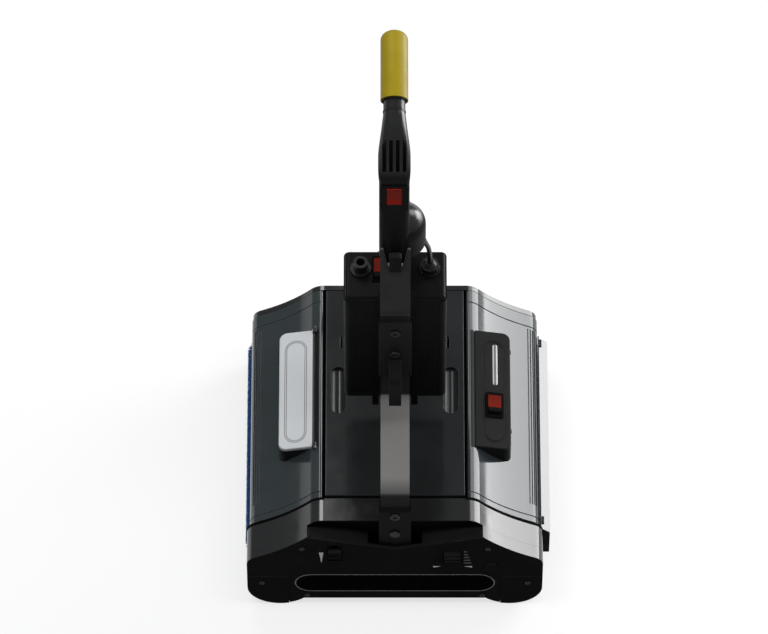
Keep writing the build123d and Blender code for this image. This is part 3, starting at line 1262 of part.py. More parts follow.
save("right_tank", clean_tank())
save("left_tank", filler_tank())
save("left_console", group([left_console(), other_side(hinge_strip())]))
save("filler_lid", filler_lid())
save("lid_hinge_pins", lid_hinge_pins())
save("control_console", group([control_console(), hinge_strip()]))
save("sight_glass", sight_glass())
console_frame, console_rocker = rocker_switch(*CONSOLE_ROCKER, *CONSOLE_BEZEL)
save("console_switch_frame", CONSOLE_SWITCH * console_frame)
save("console_rocker", CONSOLE_SWITCH * console_rocker)
save("recovery_cover", recovery_cover())
save("recovery_tub", recovery_tub())
save("splash_guard", group([splash_guard(), *guard_clips()]))

save("front_bar", bar(LEG_Y, POST_Y))
save("rear_bar", bar(REAR_LEG_Y, REAR_POST_Y))
save("front_bracket", leg_bracket(LEG_Y, -1, FRONT_BRACKET_T))
save("rear_bracket", leg_bracket(REAR_LEG_Y, 1, REAR_BRACKET_T))
save("hook_bracket", hook_bracket())
save("upper_plate", upper_plate())
front_spacer = post_spacer(POST_Y + BAR_T / 2, BOILER_Y, SPACER_RISE)
rear_spacer = post_spacer(BOILER_Y + BOILER_DEPTH, REAR_POST_Y - BAR_T / 2, REAR_SPACER_RISE)
save("post_spacers", group([front_spacer, rear_spacer]))
save("stirrup_screws", stirrup_screws())

save("boiler_case", boiler_case())
save("boiler_pan", boiler_pan())
save("boiler_cap", boiler_cap())
save("boiler_vessel", group([boiler_vessel(), heater()]))
save("boiler_sockets", group([mains_inlet(), lead_socket()]))
save("lead_plug", lead_plug())
boiler_frame, boiler_rocker = rocker_switch(*BOILER_ROCKER, *BOILER_BEZEL)
handle_frame, handle_rocker = rocker_switch(*HANDLE_ROCKER, *HANDLE_BEZEL)
save("boiler_rocker", BOILER_SWITCH * boiler_rocker)
save("handle_rocker", HANDLE_SWITCH * handle_rocker)
save("stirrup_switch_frames", group([BOILER_SWITCH * boiler_frame, HANDLE_SWITCH * handle_frame]))

save("handle_base", handle_base())
save("handle_neck", handle_neck())
save("handle_tube", handle_tube())
save("handle_grip", handle_grip())
save("boiler_lead", group([boiler_lead(), lead_gland()]))
print("lead bend radii", [round(r, 1) for r in lead_radii()])
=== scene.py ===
import math
import random

import bpy
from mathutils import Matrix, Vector


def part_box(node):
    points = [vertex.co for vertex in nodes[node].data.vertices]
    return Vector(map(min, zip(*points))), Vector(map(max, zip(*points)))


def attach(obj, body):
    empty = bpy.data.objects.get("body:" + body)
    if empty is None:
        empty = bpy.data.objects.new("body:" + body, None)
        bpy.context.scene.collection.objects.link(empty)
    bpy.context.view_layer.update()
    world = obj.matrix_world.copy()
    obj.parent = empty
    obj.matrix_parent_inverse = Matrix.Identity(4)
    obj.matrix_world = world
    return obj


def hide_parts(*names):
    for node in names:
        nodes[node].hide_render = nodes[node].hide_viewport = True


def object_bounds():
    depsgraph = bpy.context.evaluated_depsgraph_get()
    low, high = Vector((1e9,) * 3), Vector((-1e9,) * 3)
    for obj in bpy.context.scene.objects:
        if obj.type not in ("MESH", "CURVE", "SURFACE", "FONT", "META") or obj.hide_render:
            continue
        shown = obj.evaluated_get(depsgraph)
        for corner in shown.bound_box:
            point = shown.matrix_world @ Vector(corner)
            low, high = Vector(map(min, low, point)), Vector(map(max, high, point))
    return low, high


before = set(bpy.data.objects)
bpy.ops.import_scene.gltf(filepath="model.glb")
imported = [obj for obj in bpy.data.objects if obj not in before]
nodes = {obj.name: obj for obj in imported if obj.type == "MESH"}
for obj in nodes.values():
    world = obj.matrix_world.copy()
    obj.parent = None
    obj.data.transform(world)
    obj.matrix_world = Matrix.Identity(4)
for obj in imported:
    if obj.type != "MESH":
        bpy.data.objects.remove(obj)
cad_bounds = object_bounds()
scene = bpy.context.scene
scene.view_settings.view_transform = "Standard"
MM = 0.001
X, Y, Z = range(3)


# Camera at the photograph's angle, for a frame of 768 by 634
CAMERA_AT = (-0.0162, -5.0488, 8.5064)
CAMERA_DOWN_DEG = 57.889
FOCAL_LENGTH = 304.87
SENSOR_WIDTH = 36.0
CLIP_END = 100.0

lens = bpy.data.cameras.new("camera")
lens.sensor_fit = "HORIZONTAL"
lens.sensor_width = SENSOR_WIDTH
lens.lens = FOCAL_LENGTH
lens.clip_end = CLIP_END
camera = bpy.data.objects.new("camera", lens)
camera.location = CAMERA_AT
camera.rotation_euler = (math.radians(90 - CAMERA_DOWN_DEG), 0, 0)
scene.collection.objects.link(camera)
scene.camera = camera


# Node helpers
EVEN = (1, 1, 1)
NOISE_LOW, NOISE_HIGH = 0.3, 0.7  # the range that a noise texture mostly fills
STEP_HALF = 0.1 * MM  # half the width over which one colour turns into another at a level


def link(tree, source, target):
    tree.links.new(source, target)


def place(tree, stretch=EVEN):
    """Coordinates in the object's own frame, which is the row frame, in metres."""
    coordinates = tree.nodes.new("ShaderNodeTexCoord").outputs["Object"]
    if stretch == EVEN:
        return coordinates
    mapping = tree.nodes.new("ShaderNodeMapping")
    mapping.inputs["Scale"].default_value = stretch
    link(tree, coordinates, mapping.inputs["Vector"])
    return mapping.outputs["Vector"]


def noise(tree, scale, detail=3.0, roughness=0.55, stretch=EVEN):
    texture = tree.nodes.new("ShaderNodeTexNoise")
    texture.inputs["Scale"].default_value = scale
    texture.inputs["Detail"].default_value = detail
    texture.inputs["Roughness"].default_value = roughness
    link(tree, place(tree, stretch), texture.inputs["Vector"])
    return texture.outputs["Fac"]


def spread(tree, value, low_in, high_in, low_out, high_out):
    """A value carried from one range to another, and held at its ends."""
    node = tree.nodes.new("ShaderNodeMapRange")
    for name, number in (
        ("From Min", low_in),
        ("From Max", high_in),
        ("To Min", low_out),
        ("To Max", high_out),
    ):
        node.inputs[name].default_value = number
    link(tree, value, node.inputs["Value"])
    return node.outputs["Result"]


def clouds(tree, scale, detail=3.0):
    """Soft noise that fills the range from zero to one."""
    return spread(tree, noise(tree, scale, detail), NOISE_LOW, NOISE_HIGH, 0.0, 1.0)


def mixed(tree, factor, first, second):
    """Colour between two colours, each given as a tuple or a socket."""
    node = tree.nodes.new("ShaderNodeMix")
    node.data_type = "RGBA"
    link(tree, factor, node.inputs["Factor"])
    # Of this node's sockets, inputs 6 and 7 and output 2 are the ones that hold colours
    for socket, colour in ((node.inputs[6], first), (node.inputs[7], second)):
        if isinstance(colour, tuple):
            socket.default_value = (*colour, 1.0)
        else:
            link(tree, colour, socket)
    return node.outputs[2]


def calc(tree, operation, first, second):
    node = tree.nodes.new("ShaderNodeMath")
    node.operation = operation
    for socket, value in ((node.inputs[0], first), (node.inputs[1], second)):
        if isinstance(value, (int, float)):
            socket.default_value = value
        else:
            link(tree, value, socket)
    return node.outputs[0]


def scaled(colour, factor):
    return tuple(min(1.0, channel * factor) for channel in colour)


def two_tone(tree, cloud, colour, tint):
    """A colour that clouds make darker and lighter by a share."""
    return mixed(tree, cloud, scaled(colour, 1 - tint), scaled(colour, 1 + tint))


def number_along(tree, vector, axis):
    """One of a vector's three numbers."""
    axes = tree.nodes.new("ShaderNodeSeparateXYZ")
    link(tree, vector, axes.inputs[0])
    return axes.outputs[axis]


def beyond(tree, axis, level):
    """Mask by place: one beyond a level along an axis, zero before it."""
    where = number_along(tree, place(tree), axis)
    return spread(tree, where, level - STEP_HALF, level + STEP_HALF, 0.0, 1.0)


def turned_to(tree, axis, start, full):
    """Mask by the face's own normal: zero where its part along an axis is at start, one at full."""
    normal = tree.nodes.new("ShaderNodeTexCoord").outputs["Normal"]
    return spread(tree, number_along(tree, normal, axis), start, full, 0.0, 1.0)


def new_material(name):
    """Material, with its node tree and its shader."""
    material = bpy.data.materials.new(name)
    material.use_nodes = True
    tree = material.node_tree
    return material, tree, tree.nodes["Principled BSDF"]


# What all finishes share
# Faces that look to the front, which by default take the second finish that paints light and shade
FRONT = (Y, -0.8, -0.97)
MOTTLE_DETAIL = 4.0
EDGE_SAMPLES = 4
RIM_START, RIM_FULL = 0.97, 0.75  # cosine between a face and its softened edge
PATCH_SCALE, PATCH_DETAIL = 55.0, 5.0
PATCH_LOW, PATCH_HIGH, PATCH_LEAST = 0.35, 0.65, 0.35
# Painted shade in narrow hollows
HOLLOW_SAMPLES = 8
HOLLOW_RANGE = 0.3
PAINTED_HOLLOW_SHADE_COLOUR = (0.004, 0.004, 0.004)
SMEAR_SCALE, SMEAR_DETAIL, SMEAR_ROUGHNESS = 28.0, 5.0, 0.6
LEAST_ROUGH = 0.02
GRAIN_DETAIL, GRAIN_ROUGHNESS = 2.0, 0.5


def surface(
    name,
    colour,
    rough,
    tint=0.14,
    mottle=16.0,
    grain=1400.0,
    grain_depth=0.02,
    smear=0.06,
    stretch=EVEN,
    edge=0.5,
    edge_wear_and_glint=None,
    edge_wear_and_glint_share=0.4,
    metallic=0.0,
    ior=1.47,
    specular=0.5,
    pattern=None,
    front=None,
    facing=FRONT,
    painted_crevice_shade=None,
):
    """Procedural material: mottled colour, fine grain, uneven gloss and lighter, softened edges;
    the lighter edges are wear, and on some finishes also painted highlights.
    Depths and edge radius are in millimetres; pattern(tree, colour) may lay more colour on top;
    front gives another (colour, roughness, specular level) to the faces that look to the front,
    or to those that facing names as (axis, start, full), as painted light and shade by how a face
    is turned; narrow hollows may darken as painted shade, given as (the share by which they
    darken, their reach in millimetres, how open the darkest are)."""
    material, tree, shader = new_material(name)
    shader.inputs["Metallic"].default_value = metallic
    shader.inputs["IOR"].default_value = ior
    shader.inputs["Specular IOR Level"].default_value = specular

    cloud = clouds(tree, mottle, MOTTLE_DETAIL)
    shade = two_tone(tree, cloud, colour, tint)

    bevel = tree.nodes.new("ShaderNodeBevel")
    bevel.samples = EDGE_SAMPLES
    bevel.inputs["Radius"].default_value = edge * MM
    # Lighter edges: wear, and on some finishes, such as the hook and the screws, also painted
    # highlights
    if edge_wear_and_glint is not None:
        geometry = tree.nodes.new("ShaderNodeNewGeometry")
        dot = tree.nodes.new("ShaderNodeVectorMath")
        dot.operation = "DOT_PRODUCT"
        link(tree, bevel.outputs["Normal"], dot.inputs[0])
        link(tree, geometry.outputs["Normal"], dot.inputs[1])
        rim = spread(tree, dot.outputs["Value"], RIM_START, RIM_FULL, 0.0, edge_wear_and_glint_share)
        patches = noise(tree, PATCH_SCALE, PATCH_DETAIL)
        patchy = spread(tree, patches, PATCH_LOW, PATCH_HIGH, PATCH_LEAST, 1.0)
        shade = mixed(tree, calc(tree, "MULTIPLY", rim, patchy), shade, edge_wear_and_glint)
    if pattern is not None:
        shade = pattern(tree, shade)
    # Painted shade: narrow hollows darken by how closed in they are
    if painted_crevice_shade is not None:
        dark_share, reach, darkest = painted_crevice_shade
        hollow = tree.nodes.new("ShaderNodeAmbientOcclusion")
        hollow.samples = HOLLOW_SAMPLES
        hollow.only_local = True
        hollow.inputs["Distance"].default_value = reach * MM
        openness = hollow.outputs["AO"]
        painted_hollow_shade = spread(tree, openness, darkest, darkest + HOLLOW_RANGE, dark_share, 0.0)
        shade = mixed(tree, painted_hollow_shade, shade, PAINTED_HOLLOW_SHADE_COLOUR)
    smears = noise(tree, SMEAR_SCALE, SMEAR_DETAIL, SMEAR_ROUGHNESS, stretch)
    least, most = max(LEAST_ROUGH, rough - smear), rough + smear
    gloss = spread(tree, smears, NOISE_LOW, NOISE_HIGH, least, most)
    # Painted light and shade: faces turned one way take another colour, roughness and specular
    # level
    if front is not None:
        painted_light_colour, painted_light_rough, painted_light_specular = front
        painted_light_mask = turned_to(tree, *facing)
        shade = mixed(tree, painted_light_mask, shade, two_tone(tree, cloud, painted_light_colour, tint))
        gloss = calc(tree, "ADD", gloss, calc(tree, "MULTIPLY", painted_light_mask, painted_light_rough - rough))
        if painted_light_specular != specular:
            level = spread(tree, painted_light_mask, 0.0, 1.0, specular, painted_light_specular)
            # The painted shade in hollows also lowers the specular level there
            if painted_crevice_shade is not None:
                level = calc(tree, "MULTIPLY", level, calc(tree, "SUBTRACT", 1.0, painted_hollow_shade))
            link(tree, level, shader.inputs["Specular IOR Level"])
    link(tree, shade, shader.inputs["Base Color"])
    link(tree, gloss, shader.inputs["Roughness"])

    bump = tree.nodes.new("ShaderNodeBump")
    bump.inputs["Strength"].default_value = 1.0
    bump.inputs["Distance"].default_value = grain_depth * MM
    grains = noise(tree, grain, GRAIN_DETAIL, GRAIN_ROUGHNESS, stretch)
    link(tree, grains, bump.inputs["Height"])
    link(tree, bevel.outputs["Normal"], bump.inputs["Normal"])
    link(tree, bump.outputs["Normal"], shader.inputs["Normal"])
    return material


# Materials
def grey(level):
    return (level, level, level)


BLACK = (0.0085, 0.0085, 0.0087)
SATIN = (0.010, 0.0102, 0.0104)
HANDLE = (0.010, 0.010, 0.0102)
# Dull copy for the handle's walls, as painted light that keeps reflections off them
PAINTED_DULL_HANDLE_WALLS = ((0.011, 0.011, 0.0112), 0.5, 0.03)
RUBBED_GREY = (0.26, 0.255, 0.25)

# Painted light: faces that look to the front take a lighter, matte copy with almost no reflection
cover_satin = surface(
    "cover_satin", SATIN, 0.14, grain=1500, grain_depth=0.012, edge_wear_and_glint=(0.055, 0.056, 0.057),
    specular=0.8, front=((0.0165, 0.0165, 0.0167), 0.6, 0.004),
)
cover_black = surface(
    "cover_black", (0.0135, 0.0135, 0.0137), 0.55, grain=1800, grain_depth=0.03,
    edge_wear_and_glint=grey(0.13), edge_wear_and_glint_share=0.6, specular=0.004,
)
# Painted shade: faces that look to the front take a darker, matte copy with little reflection
satin_black = surface(
    "satin_black", SATIN, 0.14, grain=1200, grain_depth=0.006, edge_wear_and_glint=grey(0.09),
    specular=0.8, front=(scaled(BLACK, 0.6), 0.6, 0.02), facing=(Y, -0.55, -0.85),
)
plate_black = surface("plate_black", (0.011, 0.0112, 0.0115), 0.42, edge_wear_and_glint=grey(0.07))
badge_black = surface(
    "badge_black", grey(0.0016), 0.35, grain_depth=0.004, edge=0.2, specular=0.001
)
control_black = surface(
    "control_black", (0.0130, 0.0130, 0.0132), 0.45, edge_wear_and_glint=grey(0.05), specular=0.004
)
tank_gloss = surface(
    "tank_gloss", (0.0270, 0.0350, 0.0380), 0.1, tint=0.1, grain=260, grain_depth=0.004,
    smear=0.035, edge=0.7, edge_wear_and_glint=(0.16, 0.17, 0.175), edge_wear_and_glint_share=0.5, ior=1.52,
)
# Painted light: tilted faces, as in the finger recesses, take a lighter, rougher copy with less
# reflection
panel_gloss = surface(
    "panel_gloss", (0.0135, 0.0150, 0.0155), 0.1, tint=0.12, grain=260, grain_depth=0.004,
    smear=0.035, edge=0.8, edge_wear_and_glint=(0.20, 0.21, 0.215), edge_wear_and_glint_share=0.6, ior=1.45,
    front=((0.0150, 0.0166, 0.0172), 0.22, 0.2), facing=(Z, 0.999, 0.99),
)
console_black = surface(
    "console_black", (0.0095, 0.0094, 0.0092), 0.36, grain_depth=0.02, edge_wear_and_glint=grey(0.06),
    specular=0.13,
)
LID_EDGE_X = -123.4 * MM
LID_EDGE_BLACK = grey(0.008)


def lid_edge(tree, shade):
    """Dark strip along the lid's hinge side."""
    return mixed(tree, beyond(tree, X, LID_EDGE_X), shade, LID_EDGE_BLACK)


# Painted shade in the lid's grooves and narrow hollows
pale_lid = surface(
    "pale_lid", (0.52, 0.535, 0.55), 0.38, tint=0.02, grain=1500, grain_depth=0.02,
    edge_wear_and_glint=(0.66, 0.68, 0.7), pattern=lid_edge, painted_crevice_shade=(0.75, 2.0, 0.57),
)
frame_black = surface(
    "frame_black", grey(0.0035), 0.3, grain_depth=0.005, edge_wear_and_glint=grey(0.05), specular=0.02
)
tub_grey = surface("tub_grey", (0.020, 0.021, 0.022), 0.45, edge_wear_and_glint=grey(0.08))
# Painted shade: faces that look to the front take a darker, matte copy with little reflection
guard_black = surface(
    "guard_black", (0.012, 0.012, 0.0125), 0.1, grain=300, grain_depth=0.006, smear=0.05,
    edge_wear_and_glint=grey(0.12), specular=1.0, front=(BLACK, 0.5, 0.02),
)
# Painted shade: faces that look to the front, as on the upright post and the legs, take a much
# darker copy of the grey
bar_grey = surface(
    "bar_grey", (0.165, 0.161, 0.157), 0.42, tint=0.06, mottle=9, grain=1600,
    grain_depth=0.012, smear=0.07, stretch=(1, 0.2, 0.2), edge_wear_and_glint=RUBBED_GREY, specular=0.15,
    front=((0.032, 0.0316, 0.031), 0.45, 0.02), facing=(Y, -0.93, -0.998),
)
bracket_black = surface(
    "bracket_black", (0.0072, 0.0072, 0.0071), 0.45, edge_wear_and_glint=grey(0.07), specular=0.02
)
# The light edges are painted highlights on the hook, along with wear
hook_black = surface(
    "hook_black", (0.0085, 0.0085, 0.0084), 0.4, edge_wear_and_glint=grey(0.20), edge_wear_and_glint_share=0.7, edge=0.8,
    specular=0.06,
)
HOOK_BACK_Y = -62.75 * MM  # just in front of the upper plate's face
UPPER_HOOK_BLACK = grey(0.010)


def hook_front(tree, shade):
    """Black on what stands forward of the plate's face."""
    return mixed(tree, beyond(tree, Y, HOOK_BACK_Y), UPPER_HOOK_BLACK, shade)


plate_dark = surface(
    "plate_dark", (0.070, 0.070, 0.066), 0.5, edge_wear_and_glint=RUBBED_GREY, edge_wear_and_glint_share=0.55,
    specular=0.02, pattern=hook_front,
)
boiler_black = surface(
    "boiler_black", (0.0078, 0.0078, 0.0080), 0.45, edge_wear_and_glint=grey(0.045), edge=0.4, specular=0.03
)
cap_black = surface(
    "cap_black", (0.0068, 0.0068, 0.0069), 0.33, edge_wear_and_glint=grey(0.03), edge=0.8, specular=0.06
)
# Painted light: the walls take the dull copy; painted shade darkens the neck's slots
handle_black = surface(
    "handle_black", HANDLE, 0.24, grain=1600, grain_depth=0.02, edge_wear_and_glint=grey(0.05), specular=0.5,
    front=PAINTED_DULL_HANDLE_WALLS, facing=(Z, 0.6, 0.2), painted_crevice_shade=(0.95, 7.0, 0.68),
)
# Painted light: the upward dome keeps a strong gloss for its highlight and the walls take the dull
# copy
barrel_black = surface(
    "barrel_black", HANDLE, 0.22, grain=1600, grain_depth=0.02, edge_wear_and_glint=grey(0.05), specular=1.0,
    front=PAINTED_DULL_HANDLE_WALLS, facing=(Z, 0.76, 0.46),
)
socket_rubber = surface(
    "socket_rubber", grey(0.010), 0.4, grain_depth=0.03, edge_wear_and_glint=grey(0.03), specular=0.35
)
grip_yellow = surface(
    "grip_yellow", (0.245, 0.184, 0.0052), 0.4, tint=0.07, mottle=22, grain=1700,
    grain_depth=0.06, smear=0.08, edge_wear_and_glint=(0.40, 0.31, 0.03), edge_wear_and_glint_share=0.25, specular=0.22,
)
# The light rims on these screw heads are wear and painted rim highlights
screw_black = surface(
    "screw_black", (0.012, 0.012, 0.0122), 0.4, edge_wear_and_glint=grey(0.22), edge=0.6, edge_wear_and_glint_share=0.8,
    specular=0.1,
)
# The light rims here are wear and painted rim highlights as well
screw_dark = surface(
    "screw_dark", (0.022, 0.022, 0.0222), 0.4, edge_wear_and_glint=grey(0.30), edge=0.7, edge_wear_and_glint_share=0.8,
    specular=0.1,
)
bright_steel = surface(
    "bright_steel", (0.55, 0.55, 0.56), 0.25, metallic=1.0, stretch=(1, 0.1, 1), edge_wear_and_glint=grey(0.8)
)
brass = surface("brass", (0.48, 0.33, 0.12), 0.3, metallic=1.0, edge_wear_and_glint=(0.7, 0.5, 0.22))
core_grey = surface("core_grey", (0.03, 0.032, 0.035), 0.5, edge_wear_and_glint=grey(0.09))
drum_rubber = surface(
    "drum_rubber", (0.014, 0.014, 0.015), 0.62, grain=700, grain_depth=0.12,
    stretch=(1, 0.15, 1), edge_wear_and_glint=grey(0.05),
)
scraper_steel = surface(
    "scraper_steel", (0.36, 0.36, 0.37), 0.32, metallic=1.0, stretch=(1, 0.05, 1), edge_wear_and_glint=grey(0.6)
)
cast_metal = surface(
    "cast_metal", (0.28, 0.28, 0.285), 0.5, grain=500, grain_depth=0.12, metallic=0.85,
    edge_wear_and_glint=(0.55, 0.55, 0.56),
)
motor_paint = surface(
    "motor_paint", (0.016, 0.02, 0.026), 0.4, grain=600, grain_depth=0.05,
    edge_wear_and_glint=(0.14, 0.14, 0.15),
)
belt_rubber = surface(
    "belt_rubber", grey(0.010), 0.66, grain=900, grain_depth=0.08, edge_wear_and_glint=grey(0.04)
)
vessel_steel = surface("vessel_steel", grey(0.5), 0.28, metallic=1.0, edge_wear_and_glint=grey(0.7))
mark_white = surface(
    "mark_white", (0.82, 0.83, 0.84), 0.5, tint=0.06, mottle=160, grain_depth=0.01, edge=0.05
)
mark_grey = surface(
    "mark_grey", grey(0.017), 0.5, tint=0.1, mottle=120, grain_depth=0.01, edge=0.05
)
outline_grey = surface(
    "outline_grey", (0.115, 0.115, 0.117), 0.45, tint=0.12, mottle=60, grain_depth=0.01,
    edge=0.05,
)
# Near black: the seal lips, which also paint the shadow line at their step, and the painted shade
# in the seams
seal_and_shade_black = surface(
    "seal_and_shade_black", (0.0035, 0.0035, 0.0036), 0.6, edge_wear_and_glint=grey(0.012), edge=0.1, specular=0.01
)
lead_rubber = surface(
    "lead_rubber", (0.0060, 0.0060, 0.0061), 0.42, grain=1500, grain_depth=0.03
)

RED = (0.27, 0.014, 0.007)
DEEP_RED = (0.13, 0.011, 0.006)
RED_FROM = 0.3  # share of the rocker's length that is black, from its low end along the axis
RED_TINT = 0.15
RED_CLOUD = 90.0
ROCKER_BLACK = grey(0.006)


def rocker_material(name, axis, node, red):
    """Red on the upper part of the rocker along an axis, black below."""
    low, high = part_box(node)
    level = low[axis] + RED_FROM * (high[axis] - low[axis])

    def split(tree, shade):
        upper = two_tone(tree, clouds(tree, RED_CLOUD), red, RED_TINT)
        return mixed(tree, beyond(tree, axis, level), ROCKER_BLACK, upper)

    return surface(name, red, 0.32, grain_depth=0.01, specular=0.04, pattern=split)


SIGHT_LOW, SIGHT_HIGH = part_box("sight_glass")
# Colour of the painted highlights along the tube's sides
SIGHT_PAINTED_HIGHLIGHT = (0.55, 0.56, 0.57)
SIGHT_DARK_TO, SIGHT_HIGHLIGHT_FROM = 0.3, 0.7  # shares of the half width, from the middle out


def sight_painted_highlights(tree, shade):
    """Clear tube, drawn opaque: painted highlights along both sides and dark down the middle."""
    middle = (SIGHT_LOW.x + SIGHT_HIGH.x) / 2
    half = (SIGHT_HIGH.x - SIGHT_LOW.x) / 2
    across = calc(tree, "SUBTRACT", number_along(tree, place(tree), X), middle)
    aside = calc(tree, "ABSOLUTE", across, 0.0)
    highlight_sides = spread(tree, aside, SIGHT_DARK_TO * half, SIGHT_HIGHLIGHT_FROM * half, 0.0, 1.0)
    return mixed(tree, highlight_sides, shade, SIGHT_PAINTED_HIGHLIGHT)


# The sight glass is opaque, with painted highlights in place of its reflections
sight_painted_tube = surface(
    "sight_painted_tube", (0.06, 0.062, 0.064), 0.12, tint=0.2, mottle=60, grain_depth=0.003,
    edge=1.6, pattern=sight_painted_highlights,
)

FINISH = {
    "front_cover": cover_satin,
    "badge_plate": badge_black,
    "brush_covers": cover_black,
    "cover_screws": screw_black,
    "flow_slider": control_black,
    "pressure_wheel": control_black,
    "push_button": control_black,
    "drive_housing": satin_black,
    "front_end_plate": plate_black,
    "rear_end_plate": satin_black,
    "tie_rods": bright_steel,
    "shaft_bearings": brass,
    "pivot_pins": screw_dark,
    "right_brush_core": core_grey,
    "left_brush_core": core_grey,
    "pickup_drum": drum_rubber,
    "scraper": scraper_steel,
    "gearbox": cast_metal,
    "motor": motor_paint,
    "right_drive_pulley": cast_metal,
    "left_drive_pulley": cast_metal,
    "drive_belts": belt_rubber,
    "right_tank": tank_gloss,
    "left_tank": tank_gloss,
    "left_console": console_black,
    "filler_lid": pale_lid,
    "lid_hinge_pins": bright_steel,
    "control_console": console_black,
    "sight_glass": sight_painted_tube,
    "console_switch_frame": frame_black,
    "console_rocker": rocker_material("console_red", Y, "console_rocker", DEEP_RED),
    "recovery_cover": panel_gloss,
    "recovery_tub": tub_grey,
    "splash_guard": guard_black,
    "front_bar": bar_grey,
    "rear_bar": bar_grey,
    "front_bracket": bracket_black,
    "rear_bracket": bracket_black,
    "hook_bracket": hook_black,
    "upper_plate": plate_dark,
    "post_spacers": boiler_black,
    "stirrup_screws": screw_dark,
    "boiler_case": boiler_black,
    "boiler_pan": cap_black,
    "boiler_cap": cap_black,
    "boiler_vessel": vessel_steel,
    "boiler_sockets": socket_rubber,
    "lead_plug": socket_rubber,
    "boiler_rocker": rocker_material("boiler_red", Y, "boiler_rocker", DEEP_RED),
    "handle_rocker": rocker_material("handle_red", Z, "handle_rocker", RED),
    "stirrup_switch_frames": frame_black,
    "handle_base": barrel_black,
    "handle_neck": handle_black,
    "handle_tube": handle_black,
    "handle_grip": grip_yellow,
}
for node, material in FINISH.items():
    nodes[node].data.materials.clear()
    nodes[node].data.materials.append(material)


# New pieces
def band(first, second, count):
    """Faces between two closed loops of count points, each given by the index where it starts."""
    faces = []
    for i in range(count):
        j = (i + 1) % count
        faces.append((first + j, first + i, second + i, second + j))
    return faces


def add_mesh(name, points, faces, material, body, flip=False):
    """Flat-shaded piece on a body; flip turns its faces over, for a mirrored piece."""
    if flip:
        faces = [tuple(reversed(face)) for face in faces]
    mesh = bpy.data.meshes.new(name)
    mesh.from_pydata(points, [], faces)
    mesh.validate()
    mesh.materials.append(material)
    piece = bpy.data.objects.new(name, mesh)
    scene.collection.objects.link(piece)
    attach(piece, body)
    return piece


# Brushes: dense tufts of blue filaments on a sleeve
SLEEVE_R = 30.0 * MM
CORE_R = 26.05 * MM
SLEEVE_SIDES = 64
TUFT_ROWS = 44
TUFTS_PER_ROW = 56
ROW_START = (0.7, 0.3)  # place of the first tuft in even and odd rows, in steps
TUFT_BASE = 1.3 * MM
TUFT_SPREAD = 3.7 * MM
LEAST_LEAN = 0.35
FILAMENTS = 8
FILAMENT_R = 0.55 * MM
FILAMENT_SIDES = 3
TIP_TAPER = 0.8
TIP_ROOM = 0.2 * MM
TIP_WEAR = 1.0 * MM
ROOT_SINK = 0.5 * MM
BRISTLE_ROUGH = 0.42
BRISTLE_IOR = 1.5
BRISTLE_CLOUD = 30.0
BRIGHT_BLUES = ((0.013, 0.078, 0.270), (0.030, 0.160, 0.480))
DARK_BLUES = ((0.010, 0.054, 0.190), (0.020, 0.106, 0.350))


def bristle_material():
    """Blue that differs from filament to filament, and in clouds over the roll."""
    material, tree, shader = new_material("bristle_blue")
    shader.inputs["Roughness"].default_value = BRISTLE_ROUGH
    shader.inputs["IOR"].default_value = BRISTLE_IOR
    each = tree.nodes.new("ShaderNodeNewGeometry").outputs["Random Per Island"]
    cloud = clouds(tree, BRISTLE_CLOUD)
    bright = mixed(tree, each, *BRIGHT_BLUES)
    dark = mixed(tree, each, *DARK_BLUES)
    link(tree, mixed(tree, cloud, dark, bright), shader.inputs["Base Color"])
    return material


def brush_roll(name, node, body, material, seed):
    """Sleeve and tufts in the space that the CAD roll holds."""
    draw = random.Random(seed)
    low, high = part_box(node)
    middle = (low + high) / 2
    reach = (high.z - low.z) / 2
    y0, y1 = low.y, high.y
    points, faces = [], []

    def at(radius, angle, y):
        return (middle.x + radius * math.cos(angle), y, middle.z + radius * math.sin(angle))

    def add_filament(turn, y, around, lean, end):
        """Tapered strand on the sleeve that leans away from its tuft's middle."""
        root = len(points)
        tip = root + FILAMENT_SIDES
        for radius, offset, thick in (
            (SLEEVE_R - ROOT_SINK, TUFT_BASE, FILAMENT_R),
            (end, TUFT_SPREAD * lean, FILAMENT_R * TIP_TAPER),
        ):
            for corner in range(FILAMENT_SIDES):
                spin = around + 2 * math.pi * corner / FILAMENT_SIDES
                side = offset * math.cos(around) + thick * math.cos(spin)
                along = y + offset * math.sin(around) + thick * math.sin(spin)
                angle = turn + math.atan2(side, radius)
                points.append(at(math.hypot(radius, side), angle, min(max(along, y0), y1)))
        faces.extend(band(root, tip, FILAMENT_SIDES))
        faces.append(tuple(range(root, tip)))
        faces.append(tuple(reversed(range(tip, tip + FILAMENT_SIDES))))

    rings = ((CORE_R, y0), (SLEEVE_R, y0), (SLEEVE_R, y1), (CORE_R, y1))
    for radius, y in rings:
        points += [at(radius, 2 * math.pi * i / SLEEVE_SIDES, y) for i in range(SLEEVE_SIDES)]
    for ring in range(len(rings)):
        after = (ring + 1) % len(rings)
        faces += band(ring * SLEEVE_SIDES, after * SLEEVE_SIDES, SLEEVE_SIDES)

    step = (y1 - y0) / TUFTS_PER_ROW
    for row in range(TUFT_ROWS):
        turn = 2 * math.pi * (row + 0.5) / TUFT_ROWS
        for tuft in range(TUFTS_PER_ROW):
            y = y0 + step * (tuft + ROW_START[row % 2])
            for strand in range(FILAMENTS):
                around = 2 * math.pi * (strand + draw.random()) / FILAMENTS
                lean = draw.uniform(LEAST_LEAN, 1.0)
                end = reach - TIP_ROOM - draw.random() * TIP_WEAR
                add_filament(turn, y, around, lean, end)
    piece = add_mesh(name, points, faces, material, body)
    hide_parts(node)


bristle_blue = bristle_material()
brush_roll("left_brush_tufts", "left_bristles", "left_brush", bristle_blue, 11)
brush_roll("right_brush_tufts", "right_bristles", "right_brush", bristle_blue, 12)


